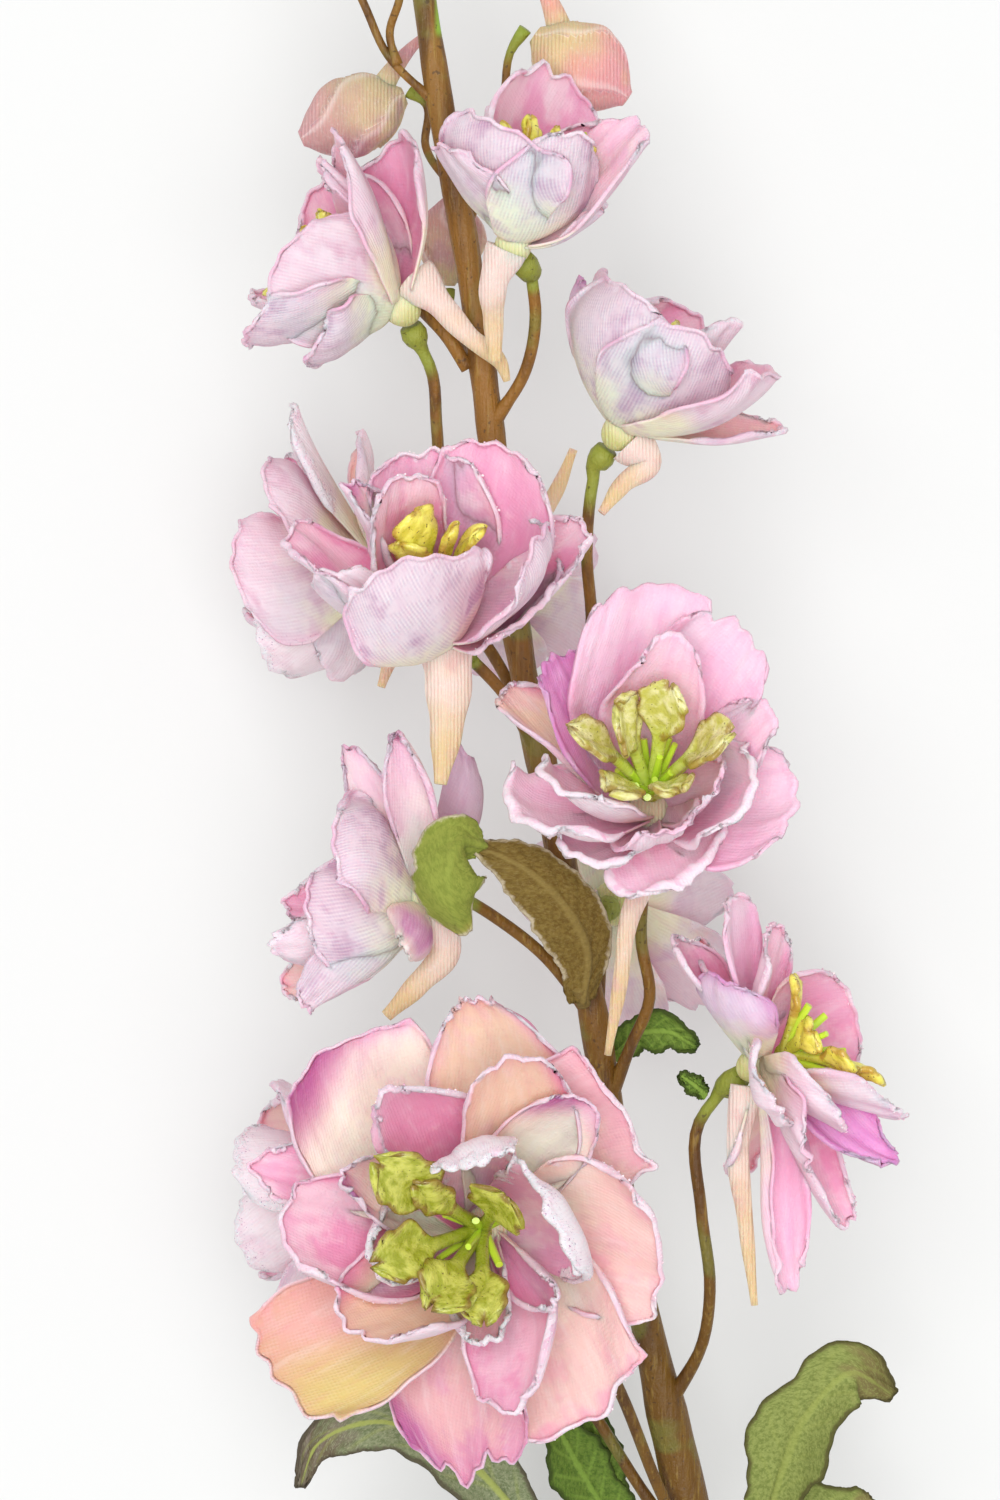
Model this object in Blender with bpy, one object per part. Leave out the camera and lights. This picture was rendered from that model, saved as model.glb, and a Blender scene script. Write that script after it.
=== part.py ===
"""A cut delphinium flower spike, laid down on its back: stem, open blooms with stamens, buds and leaves."""

import math
import random

import bmesh
import bpy
import numpy as np

# Driving dimensions, metres
MM = 0.001
ORIGIN_X = 0.0121
ORIGIN_Y = -0.0130
PETAL_THICK = 0.00072
STAMEN_THICK = 0.0008
LEAF_THICK = 0.0008
ROOT_DEPTH = 0.55
ROOT_WIDTH = 0.24
SEAT_GAP = 0.0003
NODE_GAP = 0.0005
STEM_CLEAR = 0.0007
WIDE_PETAL = 23
NARROW_PETAL = 14.5
WIDE_STAMEN = 4.6
CELL_SHARPNESS = 7
PINWHEEL = 0.30
PEDICEL_RADIUS = 0.00085
SEAT_RADIUS = 0.0018
STEM_SIDES = 8
TUBE_SIDES = 6
THIN_SIDES = 5
GOLDEN_ANGLE = math.radians(137.5)

# Main stem from the cut end to the tip, millimetres: x along the cross, y along the spike, z up, radius
STEM_PATH = [
    (54.5, -245, 3.05, 3.3), (51.0, -231, 3.05, 3.3), (41.0, -185, 11, 3.3), (29.8, -125, 25.5, 3.3),
    (26.0, -104, 30.5, 3.1), (22.5, -89, 33.5, 2.5), (19.2, -74, 36, 2.15), (12.8, -35, 41.5, 2.0),
    (7.6, -10, 44.2, 2.0), (2.8, 14, 45.6, 1.95), (-1.4, 46, 46.6, 1.9), (-4.4, 68.6, 47, 1.85),
    (-7.7, 86.8, 47, 1.8), (-10.5, 105, 46.5, 1.7), (-14, 132, 45, 1.45), (-16.8, 160, 42.5, 1.2),
    (-18, 190, 38.5, 0.95), (-17.5, 214, 34.5, 0.75),
]

# Petal rows: tip x, y, z in millimetres, width, angle from the bloom's axis at the root and at the tip,
# cup across in radians, width left at the tip, tone
BLOOMS = {
    "front": dict(
        core=(-2.2, -66.8, 58.0), axis=(-0.05, 0.02, 1), middle=(-2, -66, 71), reach=31, heart=4.6, facing=0, fullness=1.12,
        petals=[
            (-24.8, -37.8, 70, 23, 78, 70, 0.45, 0.97, "plum"),
            (-4.0, -28.2, 72, 20, 75, 65, 0.50, 0.34, "peach"),
            (20.8, -45.5, 68, 21, 80, 78, 0.30, 0.97, "blush"),
            (23.5, -69.5, 71, 22, 80, 60, 0.60, 0.86, "blush"),
            (14.3, -92.5, 68, 21, 80, 72, 0.45, 0.95, "blush"),
            (-4.0, -101.5, 66, 19, 82, 80, 0.35, 0.75, "torn"),
            (-31.0, -88.8, 66, 20, 82, 76, 0.40, 0.97, "gold"),
            (-35.5, -57.5, 65, 13, 85, 80, 0.40, 0.50, "pink"),
            (12.0, -47.5, 76, 13, 62, 40, 0.70, 0.60, "plum"),
            (1.8, -41.5, 80, 17, 60, 30, 0.80, 0.70, "peach"),
            (-30.5, -67.5, 75, 19, 65, 45, 0.80, 0.75, "pink"),
            (-20.5, -80.5, 79, 18, 60, 30, 0.90, 0.70, "peach"),
            (2.5, -91.5, 77, 15, 62, 40, 0.85, 0.60, "pink"),
            (-16.5, -46.5, 82, 17, 52, 20, 0.90, 0.35, "pink"),
            (-22.0, -58.5, 80, 11, 52, 15, 0.90, 0.45, "plum"),
            (6.2, -62.8, 82, 19, 52, -62, 0.60, 0.90, "pale"),
            (-4.2, -57.2, 84, 12, 50, -60, 0.60, 0.90, "pale"),
            (-18.0, -71.5, 76, 14, 50, 5, 1.15, 0.65, "pale"),
            (-1.5, -82.0, 75, 11, 50, 0, 1.25, 0.60, "pale"),
            (8.0, -76.0, 78, 9, 52, -5, 1.70, 0.55, "pink"),
        ],
        stamens=[
            (-17.5, -56.0, 83, 8.5), (-18.0, -70.8, 80, 7.5), (-10.0, -77.0, 80, 8.0), (-2.2, -79.5, 79, 7.0),
            (0.8, -61.2, 80, 8.0), (-12.0, -59.6, 79.5, 4.5),
        ],
        spur=[(-2.2, -66.8, 58, 2.2), (-7, -63.5, 54, 1.6), (-12, -61, 51, 1.1), (-17, -60, 49, 0.6)],
        pedicel=[(-0.8, -70.6, 52.3), (4.5, -76, 50), (12.5, -82.5, 47), (16.5, -90, 43.5), (22.5, -105, 37),
                 (28.0, -117, 28)],
    ),
    "right": dict(
        core=(21.0, -9.5, 56.5), axis=(0, 0.62, 0.78), middle=(20.5, 0, 66), reach=24, heart=4.2, facing=0, fullness=1.15,
        petals=[
            (20.0, 24.5, 66, 19, 62, 60, 0.50, 0.80, "rose"),
            (33.0, 18.0, 66, 16, 62, 62, 0.45, 0.75, "rose"),
            (5.5, 13.5, 66, 13, 62, 55, 0.50, 0.70, "violet"),
            (-6.5, 11.0, 61, 11, 78, 72, 0.70, 0.50, "peach"),
            (2.0, -8.5, 68, 20, 70, 35, 0.80, 0.75, "rolled"),
            (12.5, -15.0, 70, 16, 72, 20, 0.80, 0.70, "rolled"),
            (27.0, -16.5, 68, 19, 74, 30, 0.60, 0.80, "rolled"),
            (41.5, -6.5, 66, 19, 72, 50, 0.60, 0.70, "rose"),
            (38.0, 5.8, 68, 11, 65, 45, 0.60, 0.60, "rose"),
            (24.0, 16.5, 74, 13, 48, 30, 0.80, 0.50, "rose"),
            (7.8, -4.5, 74, 15, 55, 15, 0.90, 0.70, "rolled"),
            (34.5, -5.0, 74, 16, 55, 15, 0.80, 0.70, "rolled"),
            (24.5, -10.5, 76, 13, 58, 5, 0.85, 0.65, "rose"),
            (30.5, -3.0, 74, 10, 48, 0, 0.90, 0.60, "rose"),
        ],
        stamens=[
            (15.8, 6.5, 74, 8.0), (23.6, 9.5, 74, 6.5), (9.2, 3.4, 74, 6.0), (32.5, 2.6, 74, 7.0),
            (14.8, -5.8, 75, 6.5), (25.0, -5.6, 75, 6.0),
        ],
        spur=[(21, -10.5, 57, 3.4), (20.6, -17.5, 58.5, 2.0), (18.4, -23, 57, 1.4), (16.9, -33, 54.5, 1.1),
              (15.2, -43, 52, 0.5)],
        pedicel=[(20.8, -14.6, 51.4), (20, -27, 47.5), (21.2, -35.4, 45.5), (18.6, -42, 43), (15.5, -50, 39.8)],
    ),
    "middle": dict(
        core=(-7.5, 16.5, 58.0), axis=(-0.25, 0.78, 0.55), middle=(-9.5, 28, 66), reach=20, heart=3.8, facing=0.25, fullness=1.25,
        petals=[
            (-11.5, 42.0, 62, 16, 50, 40, 0.60, 0.75, "pink"),
            (0.5, 43.5, 62, 17, 52, 40, 0.60, 0.70, "pink"),
            (14.5, 31.5, 66, 15, 68, 40, 0.60, 0.55, "pink"),
            (7.0, 20.5, 72, 17, 95, 10, 0.70, 0.95, "lilac"),
            (-30.5, 28.5, 68, 16, 74, 45, 0.60, 0.70, "pink"),
            (-24.5, 24.5, 73, 12, 70, 20, 0.90, 0.60, "peach"),
            (-21.5, 37.5, 68, 11, 45, 10, 1.20, 0.45, "plum"),
            (5.0, 29.5, 78, 16, 75, -30, 0.80, 0.90, "lilac"),
            (-11.0, 26.5, 76, 19, 95, -50, 0.75, 0.97, "lilac"),
            (-15.0, 38.0, 71, 13, 35, 0, 0.80, 0.70, "pink"),
        ],
        stamens=[(-11.8, 33.2, 72, 7.0), (-13.8, 28.7, 71.0, 5.6), (-6.0, 31.5, 70, 4.0), (-2.0, 31.0, 68, 4.0)],
        spur=[(-8, 16.5, 60, 3.9), (-7.2, 11.5, 60.5, 3.6), (-7.2, 6, 60.5, 2.9), (-7.6, 1, 60.5, 2.1),
              (-8.3, -4.8, 61, 0.9)],
        pedicel=[(-4.6, 13.4, 51.2), (0.5, 8, 49), (5.8, -2, 44.9)],
    ),
    "top_left": dict(
        core=(-14.0, 62.5, 50.0), axis=(-0.80, 0.58, 0.12), middle=(-23.0, 71, 50), reach=19, heart=3.0, facing=0, fullness=1.3,
        petals=[
            (-23.5, 87.0, 57, 17, 45, 10, 0.80, 0.45, "white"),
            (-13.5, 88.5, 46, 21, 62, 20, 0.70, 0.75, "pink"),
            (-30.5, 70.0, 61, 18, 65, 0, 0.80, 0.60, "white"),
            (-36.0, 59.0, 55, 16, 52, 20, 0.80, 0.55, "lilac"),
            (-36.0, 64.5, 42, 15, 45, 10, 0.70, 0.60, "pink"),
            (-27.0, 80.0, 39, 17, 62, 5, 0.70, 0.60, "pink"),
            (-26.0, 83.5, 53, 9, 50, 0, 1.20, 0.45, "white"),
            (-27.0, 56.0, 55, 15, 70, 15, 0.80, 0.60, "lilac"),
        ],
        stamens=[(-33.5, 64.5, 50, 5.0), (-25.5, 76.5, 50, 4.5), (-31.0, 70.0, 47, 4.5), (-28.0, 73.5, 53, 4.5)],
        spur=[(-12.0, 66.5, 51, 3.6), (-9.0, 63.5, 52.0, 2.2), (-4.5, 58.5, 52.5, 1.5), (0.3, 54.2, 52.3, 1.0),
              (1.0, 52.0, 52.0, 0.5)],
        pedicel=[(-11.6, 57.8, 47.4), (-9.8, 54.0, 46.3), (-9.0, 46, 43.5), (-8.0, 36, 42.0), (-3.0, 26, 43.0),
                 (2.2, 17, 45.5)],
    ),
    "top_right": dict(
        core=(1.8, 70.5, 61.0), axis=(0.42, 0.88, 0.18), middle=(5.5, 81, 63), reach=17, heart=3.0, facing=0, fullness=1.3,
        petals=[
            (-8.5, 84.5, 66, 13, 65, 45, 0.60, 0.70, "white"),
            (0.0, 87.0, 72, 19, 62, 5, 0.80, 0.75, "lilac"),
            (11.5, 85.5, 71, 15, 62, 5, 0.80, 0.45, "lilac"),
            (20.5, 87.5, 62, 12, 55, 25, 0.80, 0.55, "white"),
            (7.5, 96.0, 53, 19, 48, 10, 0.70, 0.70, "pink"),
            (-1.5, 90.8, 56, 11, 35, 15, 0.80, 0.40, "pink"),
            (16.5, 88.5, 54, 11, 42, 20, 0.80, 0.50, "pink"),
            (15.0, 76.5, 63, 7, 65, 20, 0.60, 0.55, "blush"),
        ],
        stamens=[(0.2, 87.6, 65, 4.5), (4.0, 88.8, 62, 4.0), (8.0, 87.0, 65, 4.0), (12.0, 86.0, 64, 4.5),
                 (13.4, 84.0, 63, 4.0)],
        spur=[(1.0, 70.0, 61.2, 3.0), (-0.8, 65.5, 60.3, 2.1), (-0.9, 60.5, 57.5, 1.5), (-0.6, 54.5, 56.5, 0.9)],
        pedicel=[(4.4, 67.0, 55.0), (5.0, 61, 52.8), (3.6, 53.6, 50.0), (-1.2, 46, 47.0)],
    ),
    "top_side": dict(
        core=(17.0, 45.0, 51.0), axis=(0.60, 0.79, 0.08), middle=(24.5, 54, 51), reach=18, heart=3.0, facing=0, fullness=1.3,
        petals=[
            (8.6, 70.0, 51, 8, 50, 30, 0.90, 0.50, "violet"),
            (13.5, 69.5, 47, 14, 38, 20, 0.80, 0.50, "pink"),
            (17.0, 66.0, 62, 20, 72, 0, 0.80, 0.75, "lilac"),
            (34.0, 60.0, 55, 16, 45, 15, 0.80, 0.45, "pink"),
            (39.0, 53.0, 57, 20, 62, 5, 0.80, 0.70, "white"),
            (40.5, 45.5, 47, 10, 62, 40, 0.80, 0.50, "blush"),
            (27.0, 63.0, 40, 18, 60, 10, 0.80, 0.60, "pink"),
            (29.5, 57.0, 63, 18, 72, -5, 0.80, 0.70, "lilac"),
        ],
        stamens=[(25.0, 60.5, 52, 4.5), (28.0, 56.5, 52, 4.5), (21.5, 62.0, 50, 4.0), (27.5, 58.5, 47, 4.0)],
        spur=[(18.5, 43.5, 51, 3.4), (21.0, 40.6, 51, 2.0), (17.5, 37.6, 51.5, 1.4), (14.3, 33.4, 52.5, 0.6)],
        pedicel=[(13.6, 40.4, 48.9), (12.9, 36.6, 48.2), (12.3, 28, 46.0), (13.0, 18, 43.5), (11.5, 6, 42.3),
                 (9.0, -14, 43.8)],
    ),
    "left": dict(
        core=(-11.0, -21.0, 51.0), axis=(-0.97, 0.10, 0.12), middle=(-19.5, -16, 51), reach=20, heart=3.8, facing=0.55, fullness=1.2,
        petals=[
            (-14.2, 6.0, 61, 9, 88, 72, 1.50, 0.35, "night"),
            (-21.8, 1.0, 50, 9, 70, 60, 0.90, 0.35, "faded"),
            (-3.6, 4.2, 50, 13, 106, 95, -2.40, 0.75, "dim"),
            (-23.5, -11.5, 64, 17, 55, 0, 0.80, 0.60, "lilac"),
            (-27.5, -22.0, 60, 16, 54, 12, 0.80, 0.60, "lilac"),
            (-28.4, -36.6, 58, 10, 68, 50, 1.60, 0.50, "lilac"),
            (-32.5, -27.5, 54, 10, 66, 10, 0.90, 0.50, "pink"),
            (-31.0, -22.0, 43, 10, 60, 10, 0.90, 0.50, "pink"),
            (-31.5, -34.5, 44, 11, 50, 25, 0.80, 0.55, "blush"),
            (-13.4, -27.8, 64, 9, 90, 50, 1.10, 0.45, "dusk"),
            (-22.0, -8.0, 40, 14, 60, 30, 0.80, 0.60, "blush"),
        ],
        stamens=[(-24.5, -17.0, 50.5, 4.0), (-25.5, -21.5, 48.0, 4.0)],
        spur=[(-9.5, -23.0, 52, 2.8), (-7.5, -28.0, 53, 2.2), (-11.5, -33.0, 53.5, 1.7), (-16.0, -37.5, 53.0, 0.9)],
        pedicel=[(-5.6, -20.6, 49.2), (-1.0, -23.5, 46.5), (6.0, -29, 43.5), (13.2, -38, 41.2)],
    ),
    "low_right": dict(
        core=(36.0, -44.5, 51.5), axis=(0.90, 0.38, 0.14), middle=(41, -45, 52.5), reach=30, heart=2.8, facing=0.35, fullness=1.5,
        petals=[
            (22.1, -23.8, 58, 8, 98, 92, 0.90, 0.45, "pink"),
            (30.4, -16.0, 61, 10, 82, 76, 0.70, 0.50, "rose"),
            (27.5, -25.5, 46, 10, 92, 80, 0.70, 0.40, "blush"),
            (31.0, -31.5, 65, 10, 90, 60, 0.90, 0.50, "violet"),
            (38.4, -24.0, 52, 10, 66, 60, 0.60, 0.50, "pink"),
            (43.3, -57.5, 65, 11, 80, 62, 0.70, 0.45, "rose"),
            (48.0, -52.5, 64, 9, 68, 45, 0.80, 0.50, "pink"),
            (39.0, -50.0, 69, 10, 84, 30, 0.90, 0.50, "blush"),
            (57.0, -51.5, 56, 9, 48, 30, 0.70, 0.50, "pink"),
            (56.2, -58.0, 55, 7, 52, 45, 0.70, 0.30, "violet"),
            (40.7, -76.8, 50, 8, 98, 92, 2.00, 0.60, "rose"),
            (49.5, -67.5, 49, 8, 80, 72, 1.70, 0.60, "pink"),
            (36.5, -58.5, 42, 12, 90, 80, 0.60, 0.60, "blush"),
            (50.0, -36.0, 42, 14, 60, 40, 0.60, 0.60, "pink"),
        ],
        stamens=[(41.3, -31.5, 55, 4.0), (44.0, -39.2, 57, 5.5), (50.4, -45.0, 57, 5.5), (54.2, -46.9, 55, 5.0)],
        spur=[(34.8, -47.4, 52.2, 2.3), (33.6, -56, 52, 1.7), (34.6, -66, 51, 1.2), (36.0, -78.5, 49, 0.5)],
        pedicel=[(31.6, -48.0, 47.2), (28.2, -53.0, 45.0), (28.6, -65.4, 43.2), (29.9, -76.5, 41),
                 (29.0, -84.5, 37.5), (23.8, -94.5, 32.5)],
    ),
    "back_left": dict(
        core=(-17.5, 27.5, 29.0), axis=(-0.88, -0.05, -0.25), middle=(-27, 30, 25), reach=19, heart=3.8, facing=0, fullness=1.3,
        petals=[
            (-29.5, 52.0, 34, 11, 70, 85, 0.70, 0.60, "pale"),
            (-20.0, 46.5, 30, 12, 80, 60, 0.60, 0.40, "peach"),
            (-34.0, 40.5, 40, 16, 45, 20, 0.80, 0.65, "white"),
            (-38.5, 27.5, 37, 17, 40, 15, 0.80, 0.65, "white"),
            (-34.5, 13.5, 33, 17, 50, 20, 0.80, 0.65, "pale"),
            (-24.0, 9.5, 26, 14, 70, 35, 0.70, 0.55, "blush"),
            (-37.0, 21.0, 14, 15, 45, 15, 0.80, 0.60, "pink"),
            (-32.0, 40.0, 10, 15, 50, 20, 0.80, 0.60, "pink"),
            (-24.0, 26.0, -5, 15, 75, 45, 0.70, 0.60, "pale"),
        ],
        stamens=[(-33.0, 32.0, 27, 4.5), (-33.5, 25.0, 25, 4.5), (-31.5, 29.0, 20, 4.5)],
        spur=[(-16.5, 24.5, 31, 2.6), (-15.0, 19.5, 33.5, 1.7), (-15.5, 14, 35, 1.2), (-17, 9, 35.5, 0.6)],
        pedicel=[(-12.6, 26.8, 33.0), (-8.0, 22, 37.5), (-2, 15, 41), (5.0, 2, 44.2)],
    ),
    "low_left": dict(
        core=(-15.5, -62.0, 32.0), axis=(-0.85, -0.15, -0.35), middle=(-24, -64.5, 27), reach=19, heart=3.8, facing=0, fullness=1.2,
        petals=[
            (-38.5, -57.0, 38, 16, 42, 20, 0.70, 0.65, "pale"),
            (-38.0, -71.0, 34, 15, 45, 20, 0.80, 0.65, "pale"),
            (-32.5, -47.0, 31, 14, 62, 45, 0.70, 0.55, "pink"),
            (-32.5, -88.0, 32, 11, 70, 60, 0.70, 0.40, "pink"),
            (-34.0, -76.0, 12, 16, 48, 20, 0.80, 0.60, "pink"),
            (-35.0, -56.0, 11, 16, 48, 20, 0.80, 0.60, "blush"),
            (-22.0, -64.0, -5, 16, 78, 50, 0.70, 0.60, "pale"),
        ],
        stamens=[(-31.0, -60.5, 27, 4.5), (-31.0, -68.0, 25, 4.5), (-29.5, -64.5, 20, 4.5)],
        spur=[(-14.5, -59.0, 34, 2.4), (-12.0, -53.5, 36, 1.6), (-12.5, -47, 37, 1.1), (-15, -42, 37.5, 0.6)],
        pedicel=[(-10.6, -63.4, 35.6), (-3, -71, 36), (6, -85, 34.5), (12.6, -94, 32.5), (19.5, -105, 30.5),
                 (27.6, -117, 27.6)],
    ),
    "low_back": dict(
        core=(16.5, -22.0, 30.0), axis=(0.35, -0.05, -0.93), middle=(20.5, -25, 21), reach=20, heart=3.8, facing=0, fullness=1.15,
        petals=[
            (34.0, -20.5, 24, 14, 80, 60, 0.60, 0.40, "plum"),
            (30.0, -37.5, 20, 15, 75, 55, 0.60, 0.60, "pink"),
            (17.0, -43.5, 15, 15, 78, 50, 0.60, 0.60, "pink"),
            (3.5, -15.0, 16, 15, 78, 50, 0.60, 0.60, "blush"),
            (17.5, -4.0, 18, 15, 75, 50, 0.60, 0.60, "pink"),
            (26.5, -13.0, -5, 14, 55, 15, 0.80, 0.60, "pale"),
            (21.0, -34.5, -5, 14, 55, 15, 0.80, 0.60, "pale"),
        ],
        stamens=[(24.5, -22.5, 14, 4.5), (20.0, -28.5, 12, 4.5), (18.0, -19.5, 13, 4.5)],
        spur=[(14.5, -22.5, 31, 2.2), (8.0, -21.0, 33, 1.6), (1.5, -18.0, 34, 1.1), (-4, -14, 34.5, 0.6)],
        pedicel=[(15.2, -22.8, 35.8), (14.5, -29, 38.2), (13.9, -42, 40.6)],
    ),
    "high_back": dict(
        core=(-1.0, 24.0, 31.0), axis=(0.02, 0.15, -0.95), middle=(0.5, 25, 20), reach=17, heart=3.8, facing=0, fullness=1.15,
        petals=[
            (14.5, 29.0, 18, 14, 75, 50, 0.60, 0.60, "pink"),
            (11.5, 13.5, 16, 14, 78, 50, 0.60, 0.60, "blush"),
            (-3.0, 10.0, 14, 14, 78, 50, 0.60, 0.60, "pink"),
            (-8.0, 38.5, 16, 14, 75, 50, 0.60, 0.60, "pink"),
            (5.0, 40.0, 15, 14, 75, 50, 0.60, 0.60, "blush"),
            (8.0, 29.0, -5, 13, 55, 15, 0.80, 0.60, "pale"),
            (-5.0, 21.5, -5, 13, 55, 15, 0.80, 0.60, "pale"),
        ],
        stamens=[(2.0, 23.5, 17, 4.0), (-2.0, 26.5, 17, 4.0), (1.0, 27.0, 16, 4.0)],
        spur=[(-0.5, 26, 32.5, 2.2), (4, 31, 35, 1.6), (8, 37, 36.5, 1.1), (10.5, 43, 37, 0.6)],
        pedicel=[(-0.6, 22.2, 36.8), (1.5, 17, 39.8), (5.0, 3, 44.2)],
    ),
}

# Buds in view: base x, y, z, direction, length, radius, pedicel back to the stem, tone
BUDS = {
    "bud_upper_left": dict(base=(-13.6, 93.2, 41), axis=(-1, -0.42, 0.05), length=16, spur_side=1, radius=6.4, tone="mauve",
                           pedicel=[(-13.0, 93.8, 41.2), (-10.6, 92.0, 41.5), (-10.6, 86, 42.5), (-6.6, 79.5, 46.5)]),
    "bud_upper_right": dict(base=(5.0, 101.6, 44), axis=(0.88, -0.62, 0.05), length=16, spur_side=-1, radius=7.0, tone="blush",
                            pedicel=[(3.6, 102.4, 44), (1.6, 99.5, 43.2), (0.6, 93, 42.5), (-1.5, 82, 43.5),
                                     (-5.2, 73.5, 46.6)]),
    "bud_behind": dict(base=(-7.5, 66.5, 34.5), axis=(0.05, 1, 0.05), length=13, spur_side=1, radius=5.2, tone="mauve",
                       pedicel=[(-7.4, 65.8, 34.6), (-6.8, 61, 36.5), (-3.2, 55, 45.5)]),
    "bud_branch": dict(base=(-22.6, 113.0, 49), axis=(-0.55, 0.83, 0.1), length=13.5, spur_side=1, radius=5.4, tone="mauve",
                       pedicel=[(-22.3, 112.3, 49), (-19.0, 105, 48.5), (-16.2, 98.8, 48), (-8.9, 91.4, 47)]),
    "bud_twig": dict(base=(-13.6, 112.4, 52.5), axis=(0.1, 0.98, 0.15), length=9.5, spur_side=1, radius=3.6, tone="green",
                     pedicel=[(-13.7, 111.8, 52.4), (-14.2, 106, 51.0), (-15.6, 101.2, 48.6), (-14.6, 97.0, 47.9)]),
}

# Leaf lobes: spine points in millimetres, width, side lean of the blade in degrees, rise of its edges
LEAVES = {
    "leaf_middle": dict(
        petiole=[(11.9, -36.1, 44.4, 1.0), (11.2, -33.5, 47.5, 1.2)],
        lobes=[([(11.6, -35.8, 46.0), (12.2, -28.5, 50.5), (8.6, -21.5, 55.5), (3.0, -16.4, 58.5), (-3.4, -13.4, 60.0)],
                10.5, 20, -0.30),
               ([(-2.2, -13.4, 60.5), (-5.4, -12.8, 63.5), (-7.0, -16.4, 66.0), (-6.8, -21.2, 65.5), (-4.8, -25.8, 62.0)],
                10.6, 0, -0.85)],
    ),
    "leaf_behind": dict(
        petiole=[(14.9, -44.6, 37.2, 0.8), (17.5, -43.4, 35.6, 0.8)],
        lobes=[([(16.8, -43.6, 35.8), (20.0, -40.6, 37.0), (24.0, -40.2, 37.8), (28.2, -42.6, 36.5)], 6.5, -25, 0.30)],
    ),
    "leaf_bract": dict(
        petiole=[(29.1, -49.0, 46.7, 0.7), (28.1, -48.4, 47.1, 0.7)],
        lobes=[([(29.1, -48.8, 46.7), (27.2, -47.2, 47.7), (25.4, -45.9, 47.1)], 3.2, 0, 0.30)],
    ),
    "leaf_lower_left": dict(
        petiole=[(29.2, -138, 26.0, 1.2), (17.0, -126, 31.0, 1.1), (6.5, -117.5, 34, 1.1)],
        lobes=[([(8.0, -118.5, 33.5), (1.5, -108, 39), (-7.5, -99.0, 44), (-17.8, -95.2, 46), (-26.0, -98.5, 43.5),
                 (-28.6, -105.0, 40)], 10.5, 25, 0.30),
               ([(8.0, -118.5, 33.5), (-3, -119, 34), (-14, -121, 33), (-23, -126, 29)], 9.5, 10, 0.30),
               ([(8.0, -118.5, 33.5), (1, -128, 32), (-5, -138, 28)], 8.5, 0, 0.30)],
    ),
    "leaf_lower_middle": dict(
        petiole=[(30.8, -129, 19.8, 1.1), (24.5, -121, 18.0, 1.0), (17.5, -114, 19.5, 1.0)],
        lobes=[([(18.2, -114.8, 19.3), (12.0, -105, 23.5), (6.5, -94.2, 26)], 10.5, 15, 0.30),
               ([(18.2, -114.8, 19.3), (14.5, -102, 22.0), (13.0, -92.5, 21.5)], 7.5, -10, 0.30),
               ([(18.2, -114.8, 19.3), (7.5, -113, 20.5), (-2, -111, 18.5)], 8.5, 10, 0.30)],
    ),
    "leaf_lower_right": dict(
        petiole=[(32.5, -118, 28.0, 1.1), (36.5, -114, 31.0, 1.1), (39.0, -110.5, 33, 1.1)],
        lobes=[([(38.5, -111.4, 32.6), (40.5, -103, 37), (44.0, -94.5, 41), (50.0, -88.6, 42.5), (56.2, -92.0, 39)],
                13.5, -20, 0.30),
               ([(38.5, -111.4, 32.6), (47, -109, 34), (55, -109.5, 32)], 9.0, -10, 0.30)],
    ),
    "leaf_base": dict(
        petiole=[(43.6, -179, 15.2, 1.2), (48.5, -168, 18.5, 1.1), (50.5, -159, 19.5, 1.1)],
        lobes=[([(50.3, -160, 19.4), (53.5, -150, 21), (54.5, -138, 19), (52, -127, 15)], 10.5, 0, 0.30),
               ([(50.3, -160, 19.4), (44.5, -151, 21), (40.5, -142, 19)], 8.0, 10, 0.30),
               ([(50.3, -160, 19.4), (57.5, -157, 18.5), (63.0, -151, 14)], 8.0, -10, 0.30)],
    ),
}

PETAL_COLOUR = (0.86, 0.62, 0.67)
STAMEN_COLOUR = (0.47, 0.44, 0.07)
STEM_COLOUR = (0.21, 0.12, 0.055)
LEAF_COLOUR = (0.13, 0.18, 0.05)
BUD_COLOUR = (0.76, 0.57, 0.52)


def clear_scene():
    """Takes the startup objects out."""
    for item in list(bpy.data.objects):
        bpy.data.objects.remove(item, do_unlink=True)


def make_material(name, colour, roughness):
    """One plain Principled material."""
    material = bpy.data.materials.new(name)
    material.use_nodes = True
    shader = material.node_tree.nodes["Principled BSDF"]
    shader.inputs["Base Color"].default_value = (*colour, 1)
    shader.inputs["Roughness"].default_value = roughness
    shader.inputs["Metallic"].default_value = 0
    material.diffuse_color = (*colour, 1)
    return material


def place(point):
    """Millimetres in the spike's plane to metres about the shared origin."""
    x, y, z = point[:3]
    return np.array([x * MM - ORIGIN_X, y * MM - ORIGIN_Y, z * MM])


def unit(vector):
    return vector / np.linalg.norm(vector, axis=-1, keepdims=True)


def smooth_path(points, count):
    """Points spaced along a smooth curve through the given rows, each row any number of values."""
    rows = np.array(points, float)
    steps = np.linalg.norm(np.diff(rows[:, :3], axis=0), axis=1)
    knots = np.concatenate([[0], np.cumsum(steps)])
    slopes = np.gradient(rows, knots, axis=0)
    out = []
    for value in np.linspace(0, knots[-1], count):
        k = min(int(np.searchsorted(knots, value, side="right")) - 1, len(knots) - 2)
        span = knots[k + 1] - knots[k]
        t = (value - knots[k]) / span
        out.append(
            (2 * t**3 - 3 * t**2 + 1) * rows[k] + (t**3 - 2 * t**2 + t) * span * slopes[k]
            + (3 * t**2 - 2 * t**3) * rows[k + 1] + (t**3 - t**2) * span * slopes[k + 1]
        )
    return np.array(out)


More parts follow.
